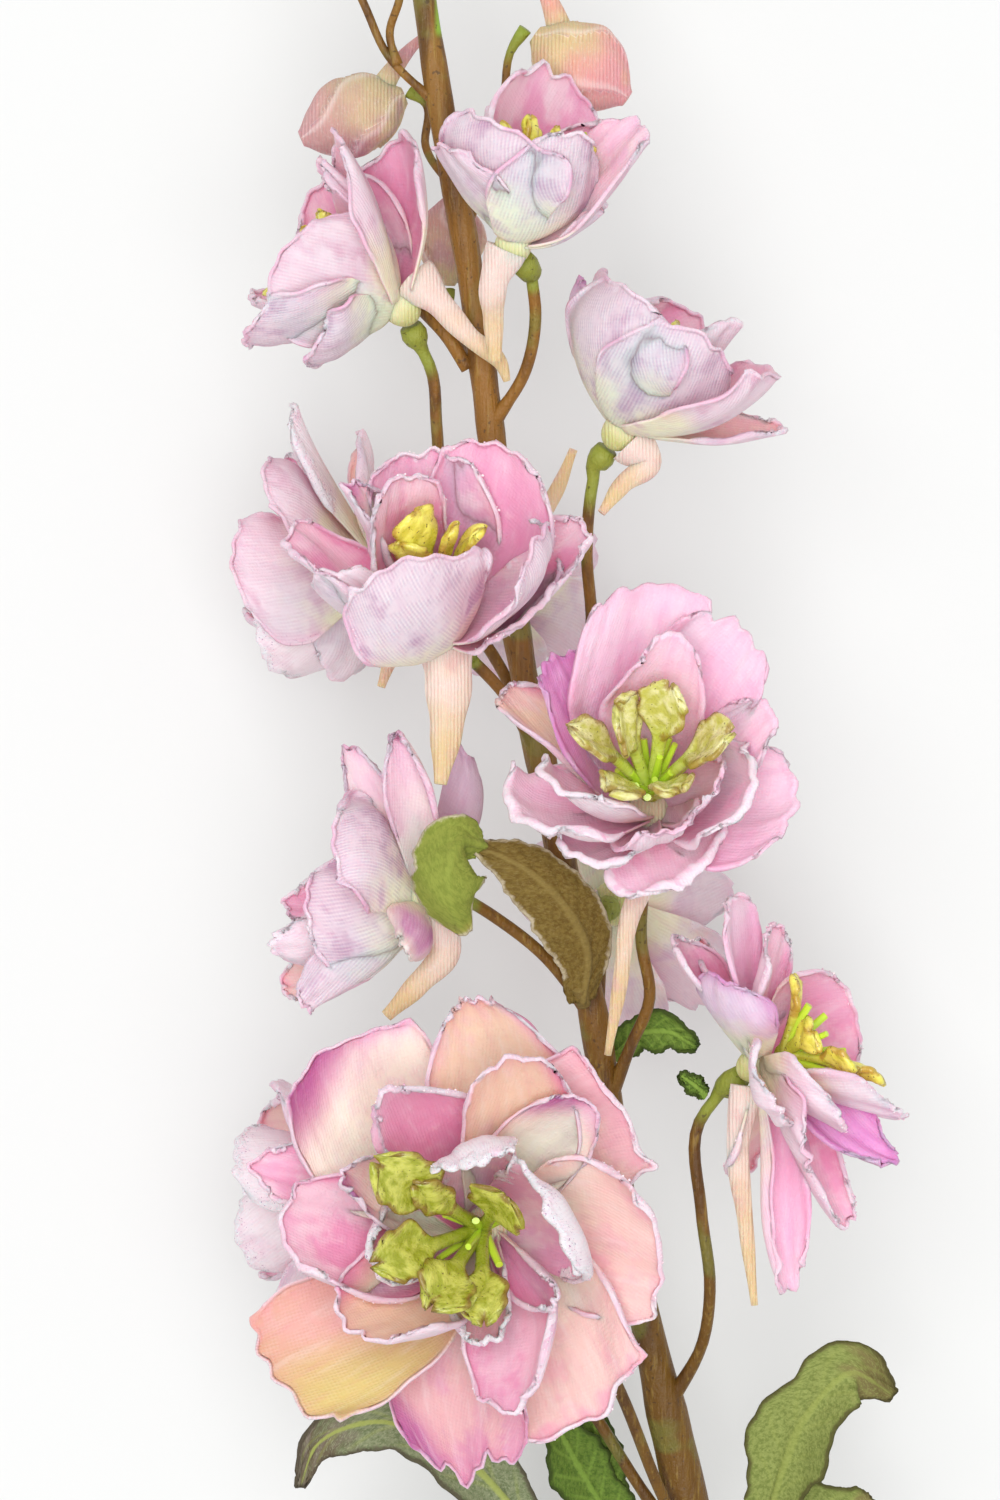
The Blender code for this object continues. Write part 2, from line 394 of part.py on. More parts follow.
def make_object(name, vertices, faces):
    """A mesh object with its faces turned outward."""
    mesh = bpy.data.meshes.new(name)
    mesh.from_pydata([tuple(v) for v in vertices], [], faces)
    work = bmesh.new()
    work.from_mesh(mesh)
    bmesh.ops.recalc_face_normals(work, faces=work.faces)
    work.to_mesh(mesh)
    work.free()
    item = bpy.data.objects.new(name, mesh)
    bpy.context.scene.collection.objects.link(item)
    return item


def tube(name, centres, radii, sides):
    """A round rod through the centres, closed at both ends, with a flat side underneath."""
    centres = np.array(centres)
    tangents = unit(np.gradient(centres, axis=0))
    if abs(centres[1][2] - centres[0][2]) < 1e-6:
        tangents[:2, 2] = 0
        tangents = unit(tangents)
    steep = np.abs(tangents[:, 2]).max() > 0.95
    side = unit(np.cross(tangents, np.array([0.3, 0.2, 1.0]) if steep else np.array([0, 0, 1.0])))
    rise = np.cross(side, tangents)
    angles = (np.arange(sides) + 0.5) * 2 * math.pi / sides - math.pi / 2
    vertices = []
    for centre, radius, across, up in zip(centres, radii, side, rise):
        for angle in angles:
            vertices.append(centre + radius * (math.cos(angle) * across + math.sin(angle) * up))
    faces = []
    for ring in range(len(centres) - 1):
        for k in range(sides):
            a = ring * sides + k
            b = ring * sides + (k + 1) % sides
            faces.append((a, b, b + sides, a + sides))
    faces.append(tuple(reversed(range(sides))))
    faces.append(tuple(range((len(centres) - 1) * sides, len(centres) * sides)))
    return make_object(name, vertices, faces)


def ball(name, centre, radius, stretch, axis, sides):
    """A small faceted ball, stretched along an axis."""
    axis = unit(np.array(axis, float))
    across = unit(np.cross(axis, [0.31, 0.17, 0.93]))
    other = np.cross(axis, across)
    vertices = [centre - axis * radius * stretch, centre + axis * radius * stretch]
    rings = 3 if sides > TUBE_SIDES else 2
    for ring in range(1, rings + 1):
        angle = math.pi * ring / (rings + 1)
        for k in range(sides):
            turn = 2 * math.pi * k / sides
            out = math.cos(turn) * across + math.sin(turn) * other
            vertices.append(
                centre - axis * radius * stretch * math.cos(angle) + out * radius * math.sin(angle)
            )
    faces = []
    for k in range(sides):
        after = (k + 1) % sides
        faces.append((0, 2 + after, 2 + k))
        faces.append((1, 2 + (rings - 1) * sides + k, 2 + (rings - 1) * sides + after))
        for ring in range(rings - 1):
            a = 2 + ring * sides
            faces.append((a + k, a + after, a + sides + after, a + sides + k))
    return make_object(name, vertices, faces)


def blade(name, grid, thick):
    """A closed sheet with even thickness about a grid of points, in triangles alike on both faces."""
    rows, columns = grid.shape[:2]
    along = np.gradient(grid, axis=0)
    across = np.gradient(grid, axis=1)
    normal = unit(np.cross(along, across))
    top = (grid + normal * thick / 2).reshape(-1, 3)
    bottom = (grid - normal * thick / 2).reshape(-1, 3)
    count = rows * columns
    faces = []
    for i in range(rows - 1):
        for j in range(columns - 1):
            a = i * columns + j
            b = a + 1
            c = a + columns
            d = c + 1
            for corner in ((a, c, b), (b, c, d)) if (i + j) % 2 else ((a, d, b), (a, c, d)):
                faces.append(corner)
                faces.append(tuple(v + count for v in reversed(corner)))
    rim = [j for j in range(columns)]
    rim += [i * columns + columns - 1 for i in range(1, rows)]
    rim += [(rows - 1) * columns + j for j in range(columns - 2, -1, -1)]
    rim += [i * columns for i in range(rows - 2, 0, -1)]
    for k, a in enumerate(rim):
        b = rim[(k + 1) % len(rim)]
        faces.append((a, b, b + count))
        faces.append((a, b + count, a + count))
    return make_object(name, np.vstack([top, bottom]), faces)


def stem_point_near(point):
    """The closest point of the main stem's centre line, with the stem's radius there."""
    line = smooth_path(STEM_PATH, 400)
    places = np.array([place(row) for row in line])
    k = int(np.argmin(np.linalg.norm(places - point, axis=1)))
    return places[k], line[k][3] * MM


def cell_of(name):
    """The planes that keep one bloom clear of its neighbours and the stem: (normal, distance)."""
    bloom = BLOOMS[name]
    middle = place(bloom["middle"])
    planes = []
    for other_name, other in BLOOMS.items():
        if other_name == name:
            continue
        gap = place(other["middle"]) - middle
        distance = np.linalg.norm(gap)
        own = bloom["reach"] * MM
        theirs = other["reach"] * MM
        share = (distance**2 + own**2 - theirs**2) / (2 * distance)
        planes.append((gap / distance, share - NODE_GAP - PETAL_THICK / 2))
    near, radius = stem_point_near(middle)
    away = near - middle
    distance = np.linalg.norm(away)
    planes.append((away / distance, distance - radius - STEM_CLEAR - PETAL_THICK / 2))
    return middle, planes


def confine(points, cell):
    """Draws points softly in towards the cell's middle, so that none passes a plane of the cell or the floor."""
    middle, planes = cell
    away = points - middle
    load = np.zeros(points.shape[:-1])
    for normal, distance in planes:
        load += (np.clip(away @ normal, 0, None) / distance) ** CELL_SHARPNESS
    drawn = middle + away * ((1 + load) ** (-1 / CELL_SHARPNESS))[..., None]
    drawn[..., 2] = np.maximum(drawn[..., 2], PETAL_THICK / 2)
    return drawn


def petal_frame(bloom, tip):
    """The bloom's core and axis, and the outward direction of the petal with this tip."""
    core = place(bloom["core"])
    axis = unit(np.array(bloom["axis"], float))
    reach = tip - core
    radial = unit(reach - axis * (reach @ axis))
    return core, axis, radial


def turn_to_view(side, inward):
    """The smaller turn about its midrib that lays a petal's face level."""
    up = math.atan2(-side[2], inward[2])
    down = math.atan2(side[2], -inward[2])
    return up if abs(up) < abs(down) else down


def petal_surface(name, index, t, s):
    """Middle surface of one petal at t along it and s across it, both arrays."""
    bloom = BLOOMS[name]
    x, y, z, width, lift, end_lift, cup, blunt, _ = bloom["petals"][index]
    tip = place((x, y, z))
    core, axis, radial = petal_frame(bloom, tip)
    side = np.cross(axis, radial)
    chance = random.Random(f"{name} petal {index}")
    sway = chance.uniform(-0.10, 0.10)
    loose = chance.uniform(-0.06, 0.06)
    ruffle = chance.uniform(0.05, 0.09)
    phase = chance.uniform(0, 2 * math.pi)
    turns = chance.uniform(0.8, 1.3)
    rounding = 0.07 + 0.12 * (1 - blunt)
    u = t * (1 - rounding * np.abs(s) ** 2.2)
    start = radial * math.sin(math.radians(lift)) + axis * math.cos(math.radians(lift))
    root = core + start * ROOT_DEPTH * bloom["heart"] * MM
    chord = np.linalg.norm(tip - root)
    end = radial * math.sin(math.radians(end_lift)) + axis * math.cos(math.radians(end_lift))
    weights = (2 * u**3 - 3 * u**2 + 1, u**3 - 2 * u**2 + u, 3 * u**2 - 2 * u**3, u**3 - u**2)
    slopes = (6 * u**2 - 6 * u, 3 * u**2 - 4 * u + 1, 6 * u - 6 * u**2, 3 * u**2 - 2 * u)
    anchors = (root, start * chord * 1.1, tip, end * chord * 1.1)
    spine = sum(w[..., None] * a for w, a in zip(weights, anchors))
    tangent = unit(sum(w[..., None] * a for w, a in zip(slopes, anchors)))
    inward = np.cross(side, tangent)
    inward *= np.sign(inward @ axis * (tangent @ radial) - inward @ radial * (tangent @ axis))[..., None]
    roll = PINWHEEL + loose + bloom["facing"] * turn_to_view(side, inward[-1, 0])
    widen = np.where(t < 0.6, ROOT_WIDTH + (1 - ROOT_WIDTH) * np.sin(np.clip(t / 0.6, 0, 1) * math.pi / 2),
                     blunt + (1 - blunt) * np.cos(np.clip((t - 0.6) / 0.4, 0, 1) * math.pi / 2) ** 0.8)
    half = width * MM / 2 * bloom["fullness"] * widen
    bend = cup * s
    across = half * np.sin(bend) / cup
    rise = half * (1 - np.cos(bend)) / cup
    wave = half * ruffle * 2.2 * t**1.5 * np.abs(s) ** 1.5 * np.sin(2 * math.pi * turns * t + phase + 1.4 * s)
    drift = sway * chord * np.sin(math.pi * np.clip(t, 0, 1))
    lateral = across * math.cos(roll) - (rise + wave) * math.sin(roll) + drift
    raised = across * math.sin(roll) + (rise + wave) * math.cos(roll)
    return confine(spine + lateral[..., None] * side + raised[..., None] * inward, cell_of(name))


def petal(name, index):
    """One petal as a thin closed sheet."""
    wide = BLOOMS[name]["petals"][index][3]
    rows = 5 if wide > WIDE_PETAL else 4 if wide > NARROW_PETAL else 3
    t, s = np.meshgrid(np.linspace(0, 1, rows), np.linspace(-1, 1, 3), indexing="ij")
    return blade(f"{name} petal {index}", petal_surface(name, index, t, s), PETAL_THICK)


def stamen(name, index):
    """One flat lobed stamen, narrow at its foot, spreading to a broad head."""
    bloom = BLOOMS[name]
    x, y, z, width = bloom["stamens"][index]
    tip = place((x, y, z))
    core, axis, radial = petal_frame(bloom, tip)
    side = np.cross(axis, radial)
    foot = core + axis * (bloom["heart"] + 1.3) * MM + radial * 0.2 * MM
    bow = (foot + tip) / 2 + axis * np.linalg.norm(tip - foot) * 0.18
    keep = slice(None) if width > WIDE_STAMEN else [0, 2, 3]
    t = np.array([0, 0.50, 0.72, 1.0])[keep]
    spine = ((1 - t) ** 2)[:, None] * foot + (2 * t * (1 - t))[:, None] * bow + (t**2)[:, None] * tip
    half = np.array([0.9, 1.0, width / 2, width / 2 * 0.62])[keep] * MM
    grid = spine[:, None, :] + half[:, None, None] * side * np.array([-1, 1])[None, :, None]
    return blade(f"{name} stamen {index}", confine(grid, cell_of(name)), STAMEN_THICK)


def join(name, pieces, material):
    """Fuses the pieces into the first of them and keeps the outer skin of the body that results."""
    base = pieces[0]
    if len(pieces) == 1:
        mesh = base.data
        bpy.data.objects.remove(base, do_unlink=True)
        return finish(name, outer_skin(mesh), material)
    group = bpy.data.collections.new(name)
    bpy.context.scene.collection.children.link(group)
    for piece in pieces[1:]:
        bpy.context.scene.collection.objects.unlink(piece)
        group.objects.link(piece)
    union = base.modifiers.new("Fuse", "BOOLEAN")
    union.operation = "UNION"
    union.operand_type = "COLLECTION"
    union.collection = group
    union.solver = "MANIFOLD"
    graph = bpy.context.evaluated_depsgraph_get()
    fused = bpy.data.meshes.new_from_object(base.evaluated_get(graph))
    for piece in pieces:
        bpy.data.objects.remove(piece, do_unlink=True)
    bpy.data.collections.remove(group)
    return finish(name, outer_skin(fused), material)


def outer_skin(mesh):
    """Drops sealed hollows and loose scraps: only the shell with the largest extent stays."""
    work = bmesh.new()
    work.from_mesh(mesh)
    bmesh.ops.triangulate(work, faces=work.faces)
    waiting = set(work.faces)
    shells = []
    while waiting:
        shell = set()
        edge = [waiting.pop()]
        while edge:
            face = edge.pop()
            shell.add(face)
            for line in face.edges:
                for other in line.link_faces:
                    if other in waiting:
                        waiting.discard(other)
                        edge.append(other)
        shells.append(shell)
    extent = [max(v.co.x + v.co.y + v.co.z for f in s for v in f.verts)
              - min(v.co.x + v.co.y + v.co.z for f in s for v in f.verts) for s in shells]
    keep = shells[extent.index(max(extent))]
    bmesh.ops.delete(work, geom=[f for f in work.faces if f not in keep], context="FACES")
    work.to_mesh(mesh)
    work.free()
    return mesh


def finish(name, mesh, material):
    """A named node with its material and smooth shading."""
    node = bpy.data.objects.new(name, mesh)
    bpy.context.scene.collection.objects.link(node)
    mesh.materials.clear()
    mesh.materials.append(material)
    for polygon in mesh.polygons:
        polygon.use_smooth = True
    return node


def make_bloom(name, petal_material, stamen_material):
    """One open bloom: core, petals and spur in one node, stamens in another."""
    bloom = BLOOMS[name]
    core = place(bloom["core"])
    spur = smooth_path(bloom["spur"], 5)
    pieces = [ball("core", core, bloom["heart"] * MM, 1.0, bloom["axis"], TUBE_SIDES)]
    pieces.append(tube("spur", [place(row) for row in spur], spur[:, 3] * MM, THIN_SIDES))
    for index in range(len(bloom["petals"])):
        pieces.append(petal(name, index))
    join(f"bloom_{name}", pieces, petal_material)
    axis = unit(np.array(bloom["axis"], float))
    knob = core + axis * (bloom["heart"] * MM + SEAT_GAP + 1.25 * MM)
    anthers = [ball("knob", knob, 1.5 * MM, 0.83, bloom["axis"], TUBE_SIDES)]
    for index in range(len(bloom["stamens"])):
        anthers.append(stamen(name, index))
    join(f"stamens_{name}", anthers, stamen_material)


def make_bud(name, base, axis, length, radius, count, spur_side, material):
    """A closed bud of five folded sepals on a short neck."""
    axis = unit(np.array(axis, float))
    across = unit(np.cross(axis, [0.11, 0.07, 0.99]))
    other = np.cross(axis, across)
    profile = [(0.0, 0.15), (0.18, 0.72), (0.48, 1.0), (0.78, 0.80), (1.0, 0.15)]
    vertices = []
    for along, wide in profile:
        for k in range(count):
            turn = 2 * math.pi * k / count + 0.5 * along
            fold = 1.0 if k % 2 else 0.88
            out = math.cos(turn) * across + math.sin(turn) * other
            vertices.append(base + axis * length * along + out * radius * wide * fold)
    faces = [tuple(reversed(range(count)))]
    for ring in range(len(profile) - 1):
        for k in range(count):
            a = ring * count + k
            b = ring * count + (k + 1) % count
            faces.append((a, b, b + count))
            faces.append((a, b + count, a + count))
    faces.append(tuple(range((len(profile) - 1) * count, len(profile) * count)))
    item = make_object("sepals", vertices, faces)
    if not spur_side:
        return join(name, [item], material)
    hook = across * spur_side * radius
    start = base + axis * length * 0.15 + hook * 0.2
    tail = [start, base - axis * length * 0.06 + hook * 0.75, base - axis * length * 0.36 + hook * 1.05]
    spur = tube("spur", tail, [radius * 0.30, radius * 0.22, radius * 0.10], 4)
    return join(name, [item, spur], material)


def tip_buds():
    """The buds above those in view, smaller towards the tip, turning round the stem."""
    chance = random.Random("tip buds")
    line = smooth_path(STEM_PATH, 400)
    heights = np.linspace(118, 213, 11)
    rows = []
    for index, height in enumerate(heights):
        k = int(np.argmin(np.abs(line[:, 1] - height)))
        share = index / (len(heights) - 1)
        turn = 0.9 + index * GOLDEN_ANGLE
        out = np.array([math.cos(turn), 0.55 + 0.5 * share, math.sin(turn)])
        out /= np.linalg.norm(out)
        stalk = 13.0 * (1 - share) + 3.9
        length = 12.5 * (1 - share) + 4.8 + chance.uniform(-0.5, 0.5)
        radius = length * 0.36
        root = line[k, :3]
        base = root + out * stalk + np.array([0, 1.5 * (1 - share), 0])
        rows.append((f"bud_tip_{index + 1:02d}", root, base, out, length, radius))
    root = line[-1, :3]
    rows.append(("bud_tip_12", root, root + np.array([0, 0.5, -0.05]), np.array([0.05, 1, -0.12]), 4.6, 1.7))
    return rows


def make_buds(material):
    """All buds, each a node of its own."""
    for name, bud in BUDS.items():
        make_bud(name, place(bud["base"]), bud["axis"], bud["length"] * MM, bud["radius"] * MM, 10,
                 bud["spur_side"], material)
    for name, _, base, out, length, radius in tip_buds():
        make_bud(name, place(base), out, length * MM, radius * MM, 8 if length > 10 else 6, int(length > 6.5), material)


def lobe_surface(spine, width, lean, edge_rise, seed, t, s):
    """Middle surface of one leaf lobe, with waved and toothed edges."""
    chance = random.Random(seed)
    phase = chance.uniform(0, 2 * math.pi)
    rows = smooth_path(spine, 61)
    line = np.array([place(row) for row in rows])
    tangents = unit(np.gradient(line, axis=0))
    tilt = math.radians(lean)
    up = np.array([math.sin(tilt), 0, math.cos(tilt)])
    k = t * (len(line) - 1)
    low = np.clip(np.floor(k).astype(int), 0, len(line) - 2)
    part = (k - low)[..., None]
    centre = line[low] * (1 - part) + line[low + 1] * part
    tangent = unit(tangents[low] * (1 - part) + tangents[low + 1] * part)
    side = unit(np.cross(tangent, up))
    rise = np.cross(side, tangent)
    shape = np.sin(np.clip(t * 0.86 + 0.10, 0, 1) * math.pi) ** 0.8
    teeth = 1 - (0.22 if edge_rise > 0 else 0.07) * (0.5 + 0.5 * np.cos(2 * math.pi * 2.5 * t + phase))
    half = width * MM / 2 * shape * teeth
    fold = half * (edge_rise * np.abs(s) ** 1.5 + 0.16 * np.abs(s) * np.sin(5.0 * t + phase + 2 * s))
    return centre + (half * s)[..., None] * side + fold[..., None] * rise


def make_leaf(name, leaf, material):
    """One leaf: its lobes fused with its stalk."""
    stalk = smooth_path(leaf["petiole"], 5)
    pieces = [tube("stalk", [place(row) for row in stalk], stalk[:, 3] * MM, TUBE_SIDES)]
    for index, (spine, width, lean, edge_rise) in enumerate(leaf["lobes"]):
        t, s = np.meshgrid(np.linspace(0, 1, 6 if width > 10 else 4), np.linspace(-1, 1, 3), indexing="ij")
        grid = lobe_surface(spine, width, lean, edge_rise, f"{name} lobe {index}", t, s)
        pieces.append(blade(f"lobe {index}", grid, LEAF_THICK))
    return join(name, pieces, material)


def make_stem(material):
    """The main stem, the stalks of blooms and buds with their swollen ends, fused."""
    rows = np.array(STEM_PATH)
    pieces = [tube("main", [place(row) for row in rows], rows[:, 3] * MM, STEM_SIDES)]
    for name, bloom in BLOOMS.items():
        core = place(bloom["core"])
        end = place(bloom["pedicel"][0])
        toward = unit(core - end)
        reach = np.linalg.norm(core - end) - bloom["heart"] * MM - SEAT_GAP
        path = [place(row) for row in smooth_path(bloom["pedicel"], 5)]
        path = [end + toward * reach, end + toward * 0.4 * MM, end - toward * 1.2 * MM, *path[1:]]
        radii = [SEAT_RADIUS, SEAT_RADIUS * 1.05] + [PEDICEL_RADIUS] * (len(path) - 2)
        pieces.append(tube("stalk", path, radii, THIN_SIDES))
    for bud in BUDS.values():
        path = smooth_path(bud["pedicel"], 5)
        pieces.append(tube("stalk", [place(row) for row in path], [0.6 * MM] * len(path), 4))
    for _, root, base, out, _, _ in tip_buds():
        if np.linalg.norm(base - root) > 1.5:
            end = place(base - out * 0.35)
            middle = (place(root) + end) / 2 + np.array([0, -0.6 * MM, 0])
            pieces.append(tube("stalk", [place(root), middle, end], [0.5 * MM] * 3, 4))
    stub = [(-4.6, 54.0, 47.0), (-7.5, 58.6, 47.6), (-11.0, 62.5, 45.6)]
    pieces.append(tube("stub", [place(row) for row in stub], [1.0 * MM] * 3, TUBE_SIDES))
    return join("stem", pieces, material)


def main():
    clear_scene()
    petals = make_material("petal", PETAL_COLOUR, 0.8)
    stamens = make_material("stamen", STAMEN_COLOUR, 0.3)
    stem = make_material("stem", STEM_COLOUR, 0.5)
    leaf = make_material("leaf", LEAF_COLOUR, 0.75)
    buds = make_material("bud", BUD_COLOUR, 0.75)
    make_stem(stem)
    for name in BLOOMS:
        make_bloom(name, petals, stamens)
    make_buds(buds)
    for name, row in LEAVES.items():
        make_leaf(name, row, leaf)


main()
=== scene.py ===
"""The delphinium spike with its finished petals, stamens, buds, leaves and stem, lying on a pale floor."""

import math
import random

import bmesh
import bpy
import numpy as np
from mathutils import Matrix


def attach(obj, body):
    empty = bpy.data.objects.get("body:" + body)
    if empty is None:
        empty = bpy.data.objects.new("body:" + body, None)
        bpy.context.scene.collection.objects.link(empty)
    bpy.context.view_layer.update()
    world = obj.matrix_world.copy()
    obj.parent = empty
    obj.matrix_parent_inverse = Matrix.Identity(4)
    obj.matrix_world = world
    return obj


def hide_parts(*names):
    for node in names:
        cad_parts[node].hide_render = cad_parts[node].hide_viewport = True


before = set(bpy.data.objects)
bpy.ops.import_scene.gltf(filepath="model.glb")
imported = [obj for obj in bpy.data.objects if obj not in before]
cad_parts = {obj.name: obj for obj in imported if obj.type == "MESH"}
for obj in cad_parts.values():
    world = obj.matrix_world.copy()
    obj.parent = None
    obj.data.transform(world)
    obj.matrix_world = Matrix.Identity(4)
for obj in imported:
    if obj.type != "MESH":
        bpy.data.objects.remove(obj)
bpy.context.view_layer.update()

# Driving dimensions, metres unless the name says millimetres
MM = 0.001
ORIGIN_X = 0.0121
ORIGIN_Y = -0.0130
PETAL_THICK = 0.00072
CLOTH_THICK = 0.00034
CRUST_THICK = 0.00034
LEAF_THICK = 0.00050
MIDRIB_THICK = 0.0007
NODE_GAP = 0.0005
STEM_CLEAR = 0.0007
SEAT_GAP = 0.0003
PEDICEL_RADIUS = 0.00085
SEAT_RADIUS = 0.0018
BUD_STALK_RADIUS = 0.0006
KNOB_LENGTH = 0.0013
KNOB_RADIUS = 0.0015
KNOB_RISE = 0.00125
STAMEN_FOOT = 0.0013
FOOT_OFFSET = 0.0002
RIB_PITCH_MM = 0.50
RIM_BLEND_MM = 1.6
FAR_FROM_RIM_MM = 9.0
ROOT_FADE_MM = 40
CLOTH_SPREAD_MM = 60
ODD_WAY = (0.11, 0.07, 0.99)

# Petals: depth and width at the root, sharpness of the room's corners, turn of the pinwheel in radians, pull
# of the curve, the widest place, crowding of the grid towards tip and sides, and the roll of the rim
ROOT_DEPTH = 0.55
ROOT_WIDTH = 0.40
CELL_SHARPNESS = 7
PINWHEEL = 0.30
SPINE_PULL = 1.1
WIDEST_AT = 0.6
TIP_CROWDING = 1.2
SIDE_CROWDING = 1.25
ROLL_SPARE = 0.55
ROLL_TURN = 2.6
ROLL_LIMIT = 0.09
CORNER_EASE = 0.75
PETAL_SWAY = 0.10
PETAL_TWIST = 0.06
RUFFLE = 2.2
CREASE_MM = 0.36
FOLD_MM = 0.15
ROOT_FREE = 0.35
SHALLOWEST_ROLL_MM = 0.05
CRUST_BAND_MM = (0.3, 1.5)
RAGGED = 0.026
NICK = 0.0016
FRAYED_TONES = {"torn": 1.6, "rolled": 0.25}
FRAYED = 0.9
TEAR_DEPTH = 0.13
TEAR_AT = 0.35
TEAR_WIDTH = 0.10

# Stamens, grains and tufts of fingers
STALK_HALF_MM = 1.15
STAMEN_BOW = 0.18
HEAD_WIDTH = 0.60
HEAD_BEND_MM = 0.35
STAMEN_EDGE_MM = 0.45
STAMEN_BODY_MM = 1.05
SPUR_FLATNESS = 0.86
SPUR_RIDGE = 0.05
GRAIN_SPACING = 0.00060
GRAIN_RADIUS = 0.00017
GRAIN_SHIFT = 0.0003
FINGER_LENGTH = 0.0078
FINGER_RADIUS = 0.00055
FINGER_TAPER = 1.35
TUFTS = {"right": 20, "front": 7, "middle": 8}
SMALL_TUFT = 6
GOLDEN_ANGLE = math.radians(137.5)

# Buds: those near the tip shrink on their way up, from LONG and SHORT together to SHORT. The outline is share
# along the bud and share of its radius. The spur's points are shares of length along it and of radius off it
TIP_BUDS = 11
TIP_BUD_PLACES_MM = (118, 213)
LONG_TIP_STALK_MM = 13.0
SHORT_TIP_STALK_MM = 3.9
LONG_TIP_BUD_MM = 12.5
SHORT_TIP_BUD_MM = 4.8
BUD_PLUMPNESS = 0.36
BUD_OUTLINE = [(0.0, 0.15), (0.10, 0.50), (0.24, 0.84), (0.48, 1.0), (0.72, 0.86), (0.88, 0.52), (1.0, 0.13)]
BUD_SPUR = [(0.22, 0.25), (-0.02, 0.66), (-0.20, 0.90), (-0.35, 1.05)]

# Leaves and stem: veins along a lobe and their slant, teeth along its edge and their depth, joints that carry
# leaves, and the stub of a stalk
LEAF_VEINS = 6.5
VEIN_SLANT = 1.3
LEAF_TEETH = 2.5
OPEN_LEAF_TOOTH = 0.22
CURLED_LEAF_TOOTH = 0.07
LEAF_WAVE = 0.16
VEIN_DEPTH_MM = 0.26
MIDRIB_RISE_MM = 0.34
LEAF_CRUMPLE_MM = 0.22
LEAF_CURL_MM = 0.14
JOINT_SWELL = 0.10
JOINT_LENGTH_MM = 3.2
LEAF_JOINTS_MM = [-138, -129, -118, -179]
STUB_PATH = [(-4.6, 54.0, 47.0), (-7.5, 58.6, 47.6), (-11.0, 62.5, 45.6)]

# Rows and columns of a petal's grid, by how near the bloom is to the eye
NEAR_GRID = (48, 33)
MIDDLE_GRID = (34, 25)
FAR_GRID = (20, 15)
GRIDS = {
    "front": NEAR_GRID, "right": NEAR_GRID, "middle": NEAR_GRID,
    "low_back": FAR_GRID, "high_back": FAR_GRID,
}
STAMEN_GRID = (40, 17)
LEAF_GRID = (56, 25)

# Main stem from the cut end to the tip, millimetres: x across, y along the spike, z up, radius
STEM_PATH = [
    (54.5, -245, 3.05, 3.3), (51, -231, 3.05, 3.3), (41, -185, 11, 3.3), (29.8, -125, 25.5, 3.3),
    (26, -104, 30.5, 3.1), (22.5, -89, 33.5, 2.5), (19.2, -74, 36, 2.15), (12.8, -35, 41.5, 2),
    (7.6, -10, 44.2, 2), (2.8, 14, 45.6, 1.95), (-1.4, 46, 46.6, 1.9), (-4.4, 68.6, 47, 1.85),
    (-7.7, 86.8, 47, 1.8), (-10.5, 105, 46.5, 1.7), (-14, 132, 45, 1.45), (-16.8, 160, 42.5, 1.2),
    (-18, 190, 38.5, 0.95), (-17.5, 214, 34.5, 0.75),
]

